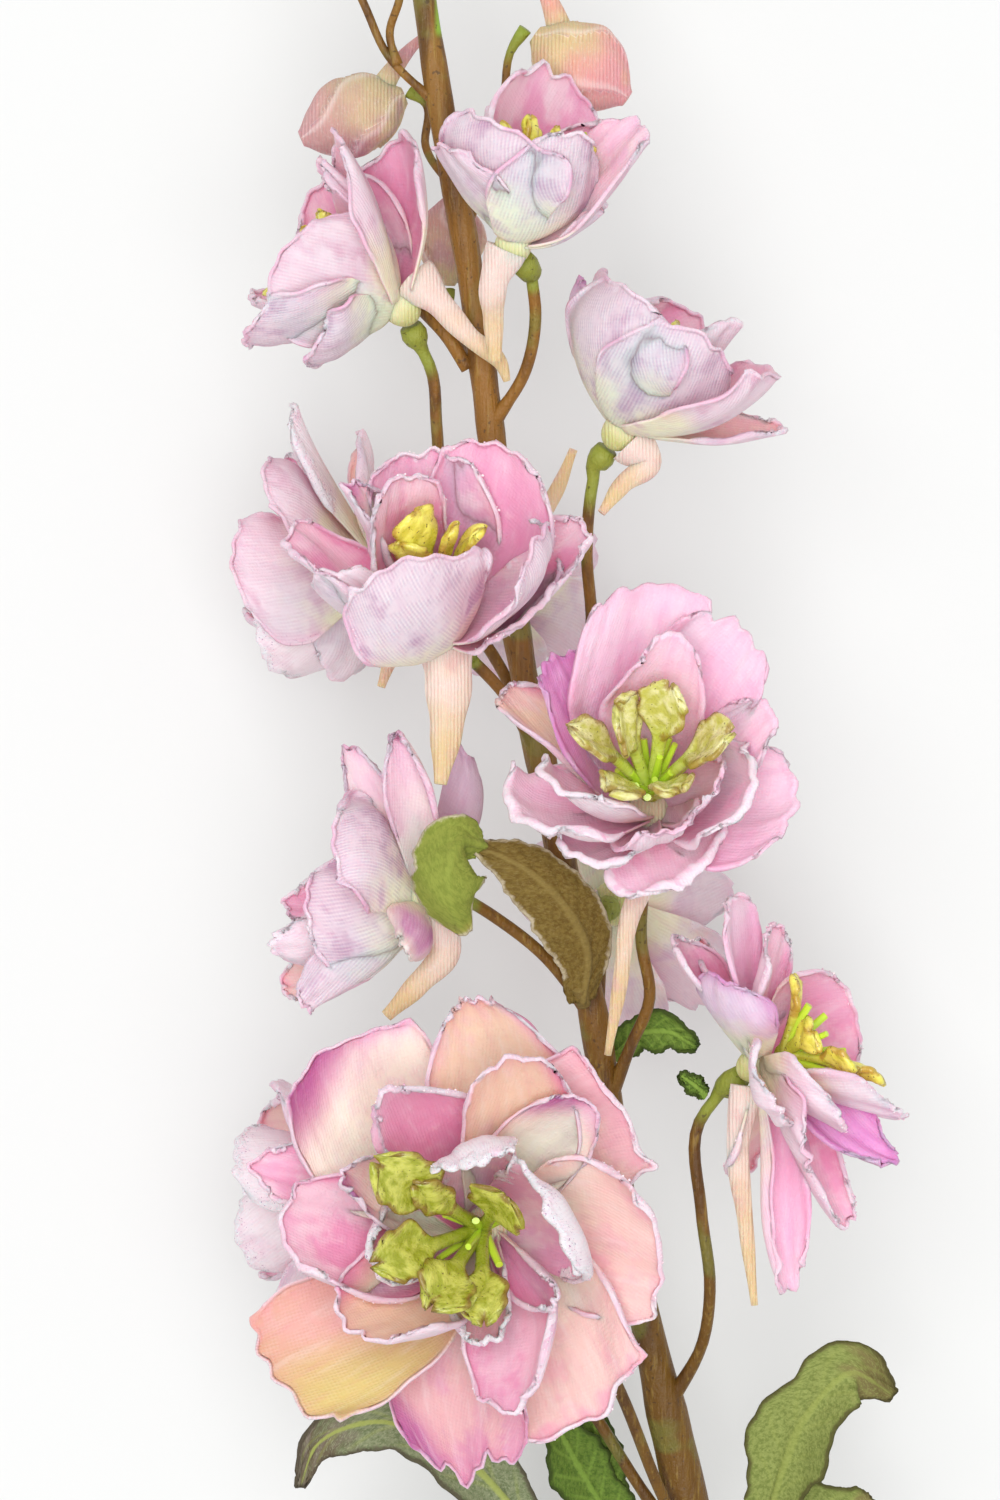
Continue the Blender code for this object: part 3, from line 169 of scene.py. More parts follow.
# Open blooms, millimetres. The core carries the petals and the stamens, the axis points out of the bloom,
# middle and reach give its room, heart is the core's radius, facing is how far the petals turn level, and
# fullness widens them all. Petal rows: tip x, y, z, width, angle from the axis at the root and at the tip,
# cup across in radians, width left at the tip, tone. Stamen rows: tip x, y, z, width of the head. Spur and
# pedicel are paths, the spur's with its radius
BLOOMS = {
    "front": dict(
        core=(-2.2, -66.8, 58), axis=(-0.05, 0.02, 1), middle=(-2, -66, 71),
        reach=31, heart=4.6, facing=0, fullness=1.12,
        petals=[
            (-24.8, -37.8, 70, 23, 78, 70, 0.45, 0.97, "plum"),
            (-4, -28.2, 72, 20, 75, 65, 0.5, 0.34, "peach"),
            (20.8, -45.5, 68, 21, 80, 78, 0.3, 0.97, "blush"),
            (23.5, -69.5, 71, 22, 80, 60, 0.6, 0.86, "blush"),
            (14.3, -92.5, 68, 21, 80, 72, 0.45, 0.95, "blush"),
            (-4, -101.5, 66, 19, 82, 80, 0.35, 0.75, "torn"),
            (-31, -88.8, 66, 20, 82, 76, 0.4, 0.97, "gold"),
            (-35.5, -57.5, 65, 13, 85, 80, 0.4, 0.5, "pink"),
            (12, -47.5, 76, 13, 62, 40, 0.7, 0.6, "plum"),
            (1.8, -41.5, 80, 17, 60, 30, 0.8, 0.7, "peach"),
            (-30.5, -67.5, 75, 19, 65, 45, 0.8, 0.75, "pink"),
            (-20.5, -80.5, 79, 18, 60, 30, 0.9, 0.7, "peach"),
            (2.5, -91.5, 77, 15, 62, 40, 0.85, 0.6, "pink"),
            (-16.5, -46.5, 82, 17, 52, 20, 0.9, 0.35, "pink"),
            (-22, -58.5, 80, 11, 52, 15, 0.9, 0.45, "plum"),
            (6.2, -62.8, 82, 19, 52, -62, 0.6, 0.9, "pale"),
            (-4.2, -57.2, 84, 12, 50, -60, 0.6, 0.9, "pale"),
            (-18, -71.5, 76, 14, 50, 5, 1.15, 0.65, "pale"),
            (-1.5, -82, 75, 11, 50, 0, 1.25, 0.6, "pale"),
            (8, -76, 78, 9, 52, -5, 1.7, 0.55, "pink"),
        ],
        stamens=[(-17.5, -56, 83, 8.5), (-18, -70.8, 80, 7.5), (-10, -77, 80, 8), (-2.2, -79.5, 79, 7),
                 (0.8, -61.2, 80, 8), (-12, -59.6, 79.5, 4.5)],
        spur=[(-2.2, -66.8, 58, 2.2), (-7, -63.5, 54, 1.6), (-12, -61, 51, 1.1), (-17, -60, 49, 0.6)],
        pedicel=[(-0.8, -70.6, 52.3), (4.5, -76, 50), (12.5, -82.5, 47), (16.5, -90, 43.5),
                 (22.5, -105, 37), (28, -117, 28)],
    ),
    "right": dict(
        core=(21, -9.5, 56.5), axis=(0, 0.62, 0.78), middle=(20.5, 0, 66),
        reach=24, heart=4.2, facing=0, fullness=1.15,
        petals=[
            (20, 24.5, 66, 19, 62, 60, 0.5, 0.8, "rose"),
            (33, 18, 66, 16, 62, 62, 0.45, 0.75, "rose"),
            (5.5, 13.5, 66, 13, 62, 55, 0.5, 0.7, "violet"),
            (-6.5, 11, 61, 11, 78, 72, 0.7, 0.5, "peach"),
            (2, -8.5, 68, 20, 70, 35, 0.8, 0.75, "rolled"),
            (12.5, -15, 70, 16, 72, 20, 0.8, 0.7, "rolled"),
            (27, -16.5, 68, 19, 74, 30, 0.6, 0.8, "rolled"),
            (41.5, -6.5, 66, 19, 72, 50, 0.6, 0.7, "rose"),
            (38, 5.8, 68, 11, 65, 45, 0.6, 0.6, "rose"),
            (24, 16.5, 74, 13, 48, 30, 0.8, 0.5, "rose"),
            (7.8, -4.5, 74, 15, 55, 15, 0.9, 0.7, "rolled"),
            (34.5, -5, 74, 16, 55, 15, 0.8, 0.7, "rolled"),
            (24.5, -10.5, 76, 13, 58, 5, 0.85, 0.65, "rose"),
            (30.5, -3, 74, 10, 48, 0, 0.9, 0.6, "rose"),
        ],
        stamens=[(15.8, 6.5, 74, 8), (23.6, 9.5, 74, 6.5), (9.2, 3.4, 74, 6), (32.5, 2.6, 74, 7),
                 (14.8, -5.8, 75, 6.5), (25, -5.6, 75, 6)],
        spur=[(21, -10.5, 57, 3.4), (20.6, -17.5, 58.5, 2), (18.4, -23, 57, 1.4), (16.9, -33, 54.5, 1.1),
              (15.2, -43, 52, 0.5)],
        pedicel=[(20.8, -14.6, 51.4), (20, -27, 47.5), (21.2, -35.4, 45.5), (18.6, -42, 43),
                 (15.5, -50, 39.8)],
    ),
    "middle": dict(
        core=(-7.5, 16.5, 58), axis=(-0.25, 0.78, 0.55), middle=(-9.5, 28, 66),
        reach=20, heart=3.8, facing=0.25, fullness=1.25,
        petals=[
            (-11.5, 42, 62, 16, 50, 40, 0.6, 0.75, "pink"),
            (0.5, 43.5, 62, 17, 52, 40, 0.6, 0.7, "pink"),
            (14.5, 31.5, 66, 15, 68, 40, 0.6, 0.55, "pink"),
            (7, 20.5, 72, 17, 95, 10, 0.7, 0.95, "lilac"),
            (-30.5, 28.5, 68, 16, 74, 45, 0.6, 0.7, "pink"),
            (-24.5, 24.5, 73, 12, 70, 20, 0.9, 0.6, "peach"),
            (-21.5, 37.5, 68, 11, 45, 10, 1.2, 0.45, "plum"),
            (5, 29.5, 78, 16, 75, -30, 0.8, 0.9, "lilac"),
            (-11, 26.5, 76, 19, 95, -50, 0.75, 0.97, "lilac"),
            (-15, 38, 71, 13, 35, 0, 0.8, 0.7, "pink"),
        ],
        stamens=[(-11.8, 33.2, 72, 7), (-13.8, 28.7, 71, 5.6), (-6, 31.5, 70, 4), (-2, 31, 68, 4)],
        spur=[(-8, 16.5, 60, 3.9), (-7.2, 11.5, 60.5, 3.6), (-7.2, 6, 60.5, 2.9), (-7.6, 1, 60.5, 2.1),
              (-8.3, -4.8, 61, 0.9)],
        pedicel=[(-4.6, 13.4, 51.2), (0.5, 8, 49), (5.8, -2, 44.9)],
    ),
    "top_left": dict(
        core=(-14, 62.5, 50), axis=(-0.8, 0.58, 0.12), middle=(-23, 71, 50),
        reach=19, heart=3, facing=0, fullness=1.3,
        petals=[
            (-23.5, 87, 57, 17, 45, 10, 0.8, 0.45, "white"),
            (-13.5, 88.5, 46, 21, 62, 20, 0.7, 0.75, "pink"),
            (-30.5, 70, 61, 18, 65, 0, 0.8, 0.6, "white"),
            (-36, 59, 55, 16, 52, 20, 0.8, 0.55, "lilac"),
            (-36, 64.5, 42, 15, 45, 10, 0.7, 0.6, "pink"),
            (-27, 80, 39, 17, 62, 5, 0.7, 0.6, "pink"),
            (-26, 83.5, 53, 9, 50, 0, 1.2, 0.45, "white"),
            (-27, 56, 55, 15, 70, 15, 0.8, 0.6, "lilac"),
        ],
        stamens=[(-33.5, 64.5, 50, 5), (-25.5, 76.5, 50, 4.5), (-31, 70, 47, 4.5), (-28, 73.5, 53, 4.5)],
        spur=[(-12, 66.5, 51, 3.6), (-9, 63.5, 52, 2.2), (-4.5, 58.5, 52.5, 1.5), (0.3, 54.2, 52.3, 1),
              (1, 52, 52, 0.5)],
        pedicel=[(-11.6, 57.8, 47.4), (-9.8, 54, 46.3), (-9, 46, 43.5), (-8, 36, 42), (-3, 26, 43),
                 (2.2, 17, 45.5)],
    ),
    "top_right": dict(
        core=(1.8, 70.5, 61), axis=(0.42, 0.88, 0.18), middle=(5.5, 81, 63),
        reach=17, heart=3, facing=0, fullness=1.3,
        petals=[
            (-8.5, 84.5, 66, 13, 65, 45, 0.6, 0.7, "white"),
            (0, 87, 72, 19, 62, 5, 0.8, 0.75, "lilac"),
            (11.5, 85.5, 71, 15, 62, 5, 0.8, 0.45, "lilac"),
            (20.5, 87.5, 62, 12, 55, 25, 0.8, 0.55, "white"),
            (7.5, 96, 53, 19, 48, 10, 0.7, 0.7, "pink"),
            (-1.5, 90.8, 56, 11, 35, 15, 0.8, 0.4, "pink"),
            (16.5, 88.5, 54, 11, 42, 20, 0.8, 0.5, "pink"),
            (15, 76.5, 63, 7, 65, 20, 0.6, 0.55, "blush"),
        ],
        stamens=[(0.2, 87.6, 65, 4.5), (4, 88.8, 62, 4), (8, 87, 65, 4), (12, 86, 64, 4.5),
                 (13.4, 84, 63, 4)],
        spur=[(1, 70, 61.2, 3), (-0.8, 65.5, 60.3, 2.1), (-0.9, 60.5, 57.5, 1.5), (-0.6, 54.5, 56.5, 0.9)],
        pedicel=[(4.4, 67, 55), (5, 61, 52.8), (3.6, 53.6, 50), (-1.2, 46, 47)],
    ),
    "top_side": dict(
        core=(17, 45, 51), axis=(0.6, 0.79, 0.08), middle=(24.5, 54, 51),
        reach=18, heart=3, facing=0, fullness=1.3,
        petals=[
            (8.6, 70, 51, 8, 50, 30, 0.9, 0.5, "violet"),
            (13.5, 69.5, 47, 14, 38, 20, 0.8, 0.5, "pink"),
            (17, 66, 62, 20, 72, 0, 0.8, 0.75, "lilac"),
            (34, 60, 55, 16, 45, 15, 0.8, 0.45, "pink"),
            (39, 53, 57, 20, 62, 5, 0.8, 0.7, "white"),
            (40.5, 45.5, 47, 10, 62, 40, 0.8, 0.5, "blush"),
            (27, 63, 40, 18, 60, 10, 0.8, 0.6, "pink"),
            (29.5, 57, 63, 18, 72, -5, 0.8, 0.7, "lilac"),
        ],
        stamens=[(25, 60.5, 52, 4.5), (28, 56.5, 52, 4.5), (21.5, 62, 50, 4), (27.5, 58.5, 47, 4)],
        spur=[(18.5, 43.5, 51, 3.4), (21, 40.6, 51, 2), (17.5, 37.6, 51.5, 1.4), (14.3, 33.4, 52.5, 0.6)],
        pedicel=[(13.6, 40.4, 48.9), (12.9, 36.6, 48.2), (12.3, 28, 46), (13, 18, 43.5), (11.5, 6, 42.3),
                 (9, -14, 43.8)],
    ),
    "left": dict(
        core=(-11, -21, 51), axis=(-0.97, 0.1, 0.12), middle=(-19.5, -16, 51),
        reach=20, heart=3.8, facing=0.55, fullness=1.2,
        petals=[
            (-14.2, 6, 61, 9, 88, 72, 1.5, 0.35, "night"),
            (-21.8, 1, 50, 9, 70, 60, 0.9, 0.35, "faded"),
            (-3.6, 4.2, 50, 13, 106, 95, -2.4, 0.75, "dim"),
            (-23.5, -11.5, 64, 17, 55, 0, 0.8, 0.6, "lilac"),
            (-27.5, -22, 60, 16, 54, 12, 0.8, 0.6, "lilac"),
            (-28.4, -36.6, 58, 10, 68, 50, 1.6, 0.5, "lilac"),
            (-32.5, -27.5, 54, 10, 66, 10, 0.9, 0.5, "pink"),
            (-31, -22, 43, 10, 60, 10, 0.9, 0.5, "pink"),
            (-31.5, -34.5, 44, 11, 50, 25, 0.8, 0.55, "blush"),
            (-13.4, -27.8, 64, 9, 90, 50, 1.1, 0.45, "dusk"),
            (-22, -8, 40, 14, 60, 30, 0.8, 0.6, "blush"),
        ],
        stamens=[(-24.5, -17, 50.5, 4), (-25.5, -21.5, 48, 4)],
        spur=[(-9.5, -23, 52, 2.8), (-7.5, -28, 53, 2.2), (-11.5, -33, 53.5, 1.7), (-16, -37.5, 53, 0.9)],
        pedicel=[(-5.6, -20.6, 49.2), (-1, -23.5, 46.5), (6, -29, 43.5), (13.2, -38, 41.2)],
    ),
    "low_right": dict(
        core=(36, -44.5, 51.5), axis=(0.9, 0.38, 0.14), middle=(41, -45, 52.5),
        reach=30, heart=2.8, facing=0.35, fullness=1.5,
        petals=[
            (22.1, -23.8, 58, 8, 98, 92, 0.9, 0.45, "pink"),
            (30.4, -16, 61, 10, 82, 76, 0.7, 0.5, "rose"),
            (27.5, -25.5, 46, 10, 92, 80, 0.7, 0.4, "blush"),
            (31, -31.5, 65, 10, 90, 60, 0.9, 0.5, "violet"),
            (38.4, -24, 52, 10, 66, 60, 0.6, 0.5, "pink"),
            (43.3, -57.5, 65, 11, 80, 62, 0.7, 0.45, "rose"),
            (48, -52.5, 64, 9, 68, 45, 0.8, 0.5, "pink"),
            (39, -50, 69, 10, 84, 30, 0.9, 0.5, "blush"),
            (57, -51.5, 56, 9, 48, 30, 0.7, 0.5, "pink"),
            (56.2, -58, 55, 7, 52, 45, 0.7, 0.3, "violet"),
            (40.7, -76.8, 50, 8, 98, 92, 2, 0.6, "rose"),
            (49.5, -67.5, 49, 8, 80, 72, 1.7, 0.6, "pink"),
            (36.5, -58.5, 42, 12, 90, 80, 0.6, 0.6, "blush"),
            (50, -36, 42, 14, 60, 40, 0.6, 0.6, "pink"),
        ],
        stamens=[(41.3, -31.5, 55, 4), (44, -39.2, 57, 5.5), (50.4, -45, 57, 5.5), (54.2, -46.9, 55, 5)],
        spur=[(34.8, -47.4, 52.2, 2.3), (33.6, -56, 52, 1.7), (34.6, -66, 51, 1.2), (36, -78.5, 49, 0.5)],
        pedicel=[(31.6, -48, 47.2), (28.2, -53, 45), (28.6, -65.4, 43.2), (29.9, -76.5, 41),
                 (29, -84.5, 37.5), (23.8, -94.5, 32.5)],
    ),
    "back_left": dict(
        core=(-17.5, 27.5, 29), axis=(-0.88, -0.05, -0.25), middle=(-27, 30, 25),
        reach=19, heart=3.8, facing=0, fullness=1.3,
        petals=[
            (-29.5, 52, 34, 11, 70, 85, 0.7, 0.6, "pale"),
            (-20, 46.5, 30, 12, 80, 60, 0.6, 0.4, "peach"),
            (-34, 40.5, 40, 16, 45, 20, 0.8, 0.65, "white"),
            (-38.5, 27.5, 37, 17, 40, 15, 0.8, 0.65, "white"),
            (-34.5, 13.5, 33, 17, 50, 20, 0.8, 0.65, "pale"),
            (-24, 9.5, 26, 14, 70, 35, 0.7, 0.55, "blush"),
            (-37, 21, 14, 15, 45, 15, 0.8, 0.6, "pink"),
            (-32, 40, 10, 15, 50, 20, 0.8, 0.6, "pink"),
            (-24, 26, -5, 15, 75, 45, 0.7, 0.6, "pale"),
        ],
        stamens=[(-33, 32, 27, 4.5), (-33.5, 25, 25, 4.5), (-31.5, 29, 20, 4.5)],
        spur=[(-16.5, 24.5, 31, 2.6), (-15, 19.5, 33.5, 1.7), (-15.5, 14, 35, 1.2), (-17, 9, 35.5, 0.6)],
        pedicel=[(-12.6, 26.8, 33), (-8, 22, 37.5), (-2, 15, 41), (5, 2, 44.2)],
    ),
    "low_left": dict(
        core=(-15.5, -62, 32), axis=(-0.85, -0.15, -0.35), middle=(-24, -64.5, 27),
        reach=19, heart=3.8, facing=0, fullness=1.2,
        petals=[
            (-38.5, -57, 38, 16, 42, 20, 0.7, 0.65, "pale"),
            (-38, -71, 34, 15, 45, 20, 0.8, 0.65, "pale"),
            (-32.5, -47, 31, 14, 62, 45, 0.7, 0.55, "pink"),
            (-32.5, -88, 32, 11, 70, 60, 0.7, 0.4, "pink"),
            (-34, -76, 12, 16, 48, 20, 0.8, 0.6, "pink"),
            (-35, -56, 11, 16, 48, 20, 0.8, 0.6, "blush"),
            (-22, -64, -5, 16, 78, 50, 0.7, 0.6, "pale"),
        ],
        stamens=[(-31, -60.5, 27, 4.5), (-31, -68, 25, 4.5), (-29.5, -64.5, 20, 4.5)],
        spur=[(-14.5, -59, 34, 2.4), (-12, -53.5, 36, 1.6), (-12.5, -47, 37, 1.1), (-15, -42, 37.5, 0.6)],
        pedicel=[(-10.6, -63.4, 35.6), (-3, -71, 36), (6, -85, 34.5), (12.6, -94, 32.5), (19.5, -105, 30.5),
                 (27.6, -117, 27.6)],
    ),
    "low_back": dict(
        core=(16.5, -22, 30), axis=(0.35, -0.05, -0.93), middle=(20.5, -25, 21),
        reach=20, heart=3.8, facing=0, fullness=1.15,
        petals=[
            (34, -20.5, 24, 14, 80, 60, 0.6, 0.4, "plum"),
            (30, -37.5, 20, 15, 75, 55, 0.6, 0.6, "pink"),
            (17, -43.5, 15, 15, 78, 50, 0.6, 0.6, "pink"),
            (3.5, -15, 16, 15, 78, 50, 0.6, 0.6, "blush"),
            (17.5, -4, 18, 15, 75, 50, 0.6, 0.6, "pink"),
            (26.5, -13, -5, 14, 55, 15, 0.8, 0.6, "pale"),
            (21, -34.5, -5, 14, 55, 15, 0.8, 0.6, "pale"),
        ],
        stamens=[(24.5, -22.5, 14, 4.5), (20, -28.5, 12, 4.5), (18, -19.5, 13, 4.5)],
        spur=[(14.5, -22.5, 31, 2.2), (8, -21, 33, 1.6), (1.5, -18, 34, 1.1), (-4, -14, 34.5, 0.6)],
        pedicel=[(15.2, -22.8, 35.8), (14.5, -29, 38.2), (13.9, -42, 40.6)],
    ),
    "high_back": dict(
        core=(-1, 24, 31), axis=(0.02, 0.15, -0.95), middle=(0.5, 25, 20),
        reach=17, heart=3.8, facing=0, fullness=1.15,
        petals=[
            (14.5, 29, 18, 14, 75, 50, 0.6, 0.6, "pink"),
            (11.5, 13.5, 16, 14, 78, 50, 0.6, 0.6, "blush"),
            (-3, 10, 14, 14, 78, 50, 0.6, 0.6, "pink"),
            (-8, 38.5, 16, 14, 75, 50, 0.6, 0.6, "pink"),
            (5, 40, 15, 14, 75, 50, 0.6, 0.6, "blush"),
            (8, 29, -5, 13, 55, 15, 0.8, 0.6, "pale"),
            (-5, 21.5, -5, 13, 55, 15, 0.8, 0.6, "pale"),
        ],
        stamens=[(2, 23.5, 17, 4), (-2, 26.5, 17, 4), (1, 27, 16, 4)],
        spur=[(-0.5, 26, 32.5, 2.2), (4, 31, 35, 1.6), (8, 37, 36.5, 1.1), (10.5, 43, 37, 0.6)],
        pedicel=[(-0.6, 22.2, 36.8), (1.5, 17, 39.8), (5, 3, 44.2)],
    ),
}

# Buds in view: base x, y, z, direction, length, radius, the side of the spur, tone, stalk back to the stem
BUDS = {
    "bud_upper_left": dict(
        base=(-13.6, 93.2, 41), axis=(-1, -0.42, 0.05), length=16, radius=6.4, spur_side=1, tone="mauve",
        pedicel=[(-13, 93.8, 41.2), (-10.6, 92, 41.5), (-10.6, 86, 42.5), (-6.6, 79.5, 46.5)],
    ),
    "bud_upper_right": dict(
        base=(5, 101.6, 44), axis=(0.88, -0.62, 0.05), length=16, radius=7, spur_side=-1, tone="blush",
        pedicel=[(3.6, 102.4, 44), (1.6, 99.5, 43.2), (0.6, 93, 42.5), (-1.5, 82, 43.5),
                 (-5.2, 73.5, 46.6)],
    ),
    "bud_behind": dict(
        base=(-7.5, 66.5, 34.5), axis=(0.05, 1, 0.05), length=13, radius=5.2, spur_side=1, tone="mauve",
        pedicel=[(-7.4, 65.8, 34.6), (-6.8, 61, 36.5), (-3.2, 55, 45.5)],
    ),
    "bud_branch": dict(
        base=(-22.6, 113, 49), axis=(-0.55, 0.83, 0.1), length=13.5, radius=5.4, spur_side=1, tone="mauve",
        pedicel=[(-22.3, 112.3, 49), (-19, 105, 48.5), (-16.2, 98.8, 48), (-8.9, 91.4, 47)],
    ),
    "bud_twig": dict(
        base=(-13.6, 112.4, 52.5), axis=(0.1, 0.98, 0.15), length=9.5, radius=3.6, spur_side=1, tone="green",
        pedicel=[(-13.7, 111.8, 52.4), (-14.2, 106, 51), (-15.6, 101.2, 48.6), (-14.6, 97, 47.9)],
    ),
}

# Leaves: the stalk's path with its radius, and lobes as spine points, width, lean of the blade in degrees and
# rise of its edges
LEAVES = {
    "leaf_middle": dict(
        petiole=[(11.9, -36.1, 44.4, 1), (11.2, -33.5, 47.5, 1.2)],
        lobes=[
            ([(11.6, -35.8, 46), (12.2, -28.5, 50.5), (8.6, -21.5, 55.5), (3, -16.4, 58.5),
              (-3.4, -13.4, 60)], 10.5, 20, -0.3),
            ([(-2.2, -13.4, 60.5), (-5.4, -12.8, 63.5), (-7, -16.4, 66), (-6.8, -21.2, 65.5),
              (-4.8, -25.8, 62)], 10.6, 0, -0.85),
        ],
    ),
    "leaf_behind": dict(
        petiole=[(14.9, -44.6, 37.2, 0.8), (17.5, -43.4, 35.6, 0.8)],
        lobes=[
            ([(16.8, -43.6, 35.8), (20, -40.6, 37), (24, -40.2, 37.8), (28.2, -42.6, 36.5)], 6.5, -25, 0.3),
        ],
    ),
    "leaf_bract": dict(
        petiole=[(29.1, -49, 46.7, 0.7), (28.1, -48.4, 47.1, 0.7)],
        lobes=[
            ([(29.1, -48.8, 46.7), (27.2, -47.2, 47.7), (25.4, -45.9, 47.1)], 3.2, 0, 0.3),
        ],
    ),
    "leaf_lower_left": dict(
        petiole=[(29.2, -138, 26, 1.2), (17, -126, 31, 1.1), (6.5, -117.5, 34, 1.1)],
        lobes=[
            ([(8, -118.5, 33.5), (1.5, -108, 39), (-7.5, -99, 44), (-17.8, -95.2, 46), (-26, -98.5, 43.5),
              (-28.6, -105, 40)], 10.5, 25, 0.3),
            ([(8, -118.5, 33.5), (-3, -119, 34), (-14, -121, 33), (-23, -126, 29)], 9.5, 10, 0.3),
            ([(8, -118.5, 33.5), (1, -128, 32), (-5, -138, 28)], 8.5, 0, 0.3),
        ],
    ),
    "leaf_lower_middle": dict(
        petiole=[(30.8, -129, 19.8, 1.1), (24.5, -121, 18, 1), (17.5, -114, 19.5, 1)],
        lobes=[
            ([(18.2, -114.8, 19.3), (12, -105, 23.5), (6.5, -94.2, 26)], 10.5, 15, 0.3),
            ([(18.2, -114.8, 19.3), (14.5, -102, 22), (13, -92.5, 21.5)], 7.5, -10, 0.3),
            ([(18.2, -114.8, 19.3), (7.5, -113, 20.5), (-2, -111, 18.5)], 8.5, 10, 0.3),
        ],
    ),
    "leaf_lower_right": dict(
        petiole=[(32.5, -118, 28, 1.1), (36.5, -114, 31, 1.1), (39, -110.5, 33, 1.1)],
        lobes=[
            ([(38.5, -111.4, 32.6), (40.5, -103, 37), (44, -94.5, 41), (50, -88.6, 42.5),
              (56.2, -92, 39)], 13.5, -20, 0.3),
            ([(38.5, -111.4, 32.6), (47, -109, 34), (55, -109.5, 32)], 9, -10, 0.3),
        ],
    ),
    "leaf_base": dict(
        petiole=[(43.6, -179, 15.2, 1.2), (48.5, -168, 18.5, 1.1), (50.5, -159, 19.5, 1.1)],
        lobes=[
            ([(50.3, -160, 19.4), (53.5, -150, 21), (54.5, -138, 19), (52, -127, 15)], 10.5, 0, 0.3),
            ([(50.3, -160, 19.4), (44.5, -151, 21), (40.5, -142, 19)], 8, 10, 0.3),
            ([(50.3, -160, 19.4), (57.5, -157, 18.5), (63, -151, 14)], 8, -10, 0.3),
        ],
    ),
}

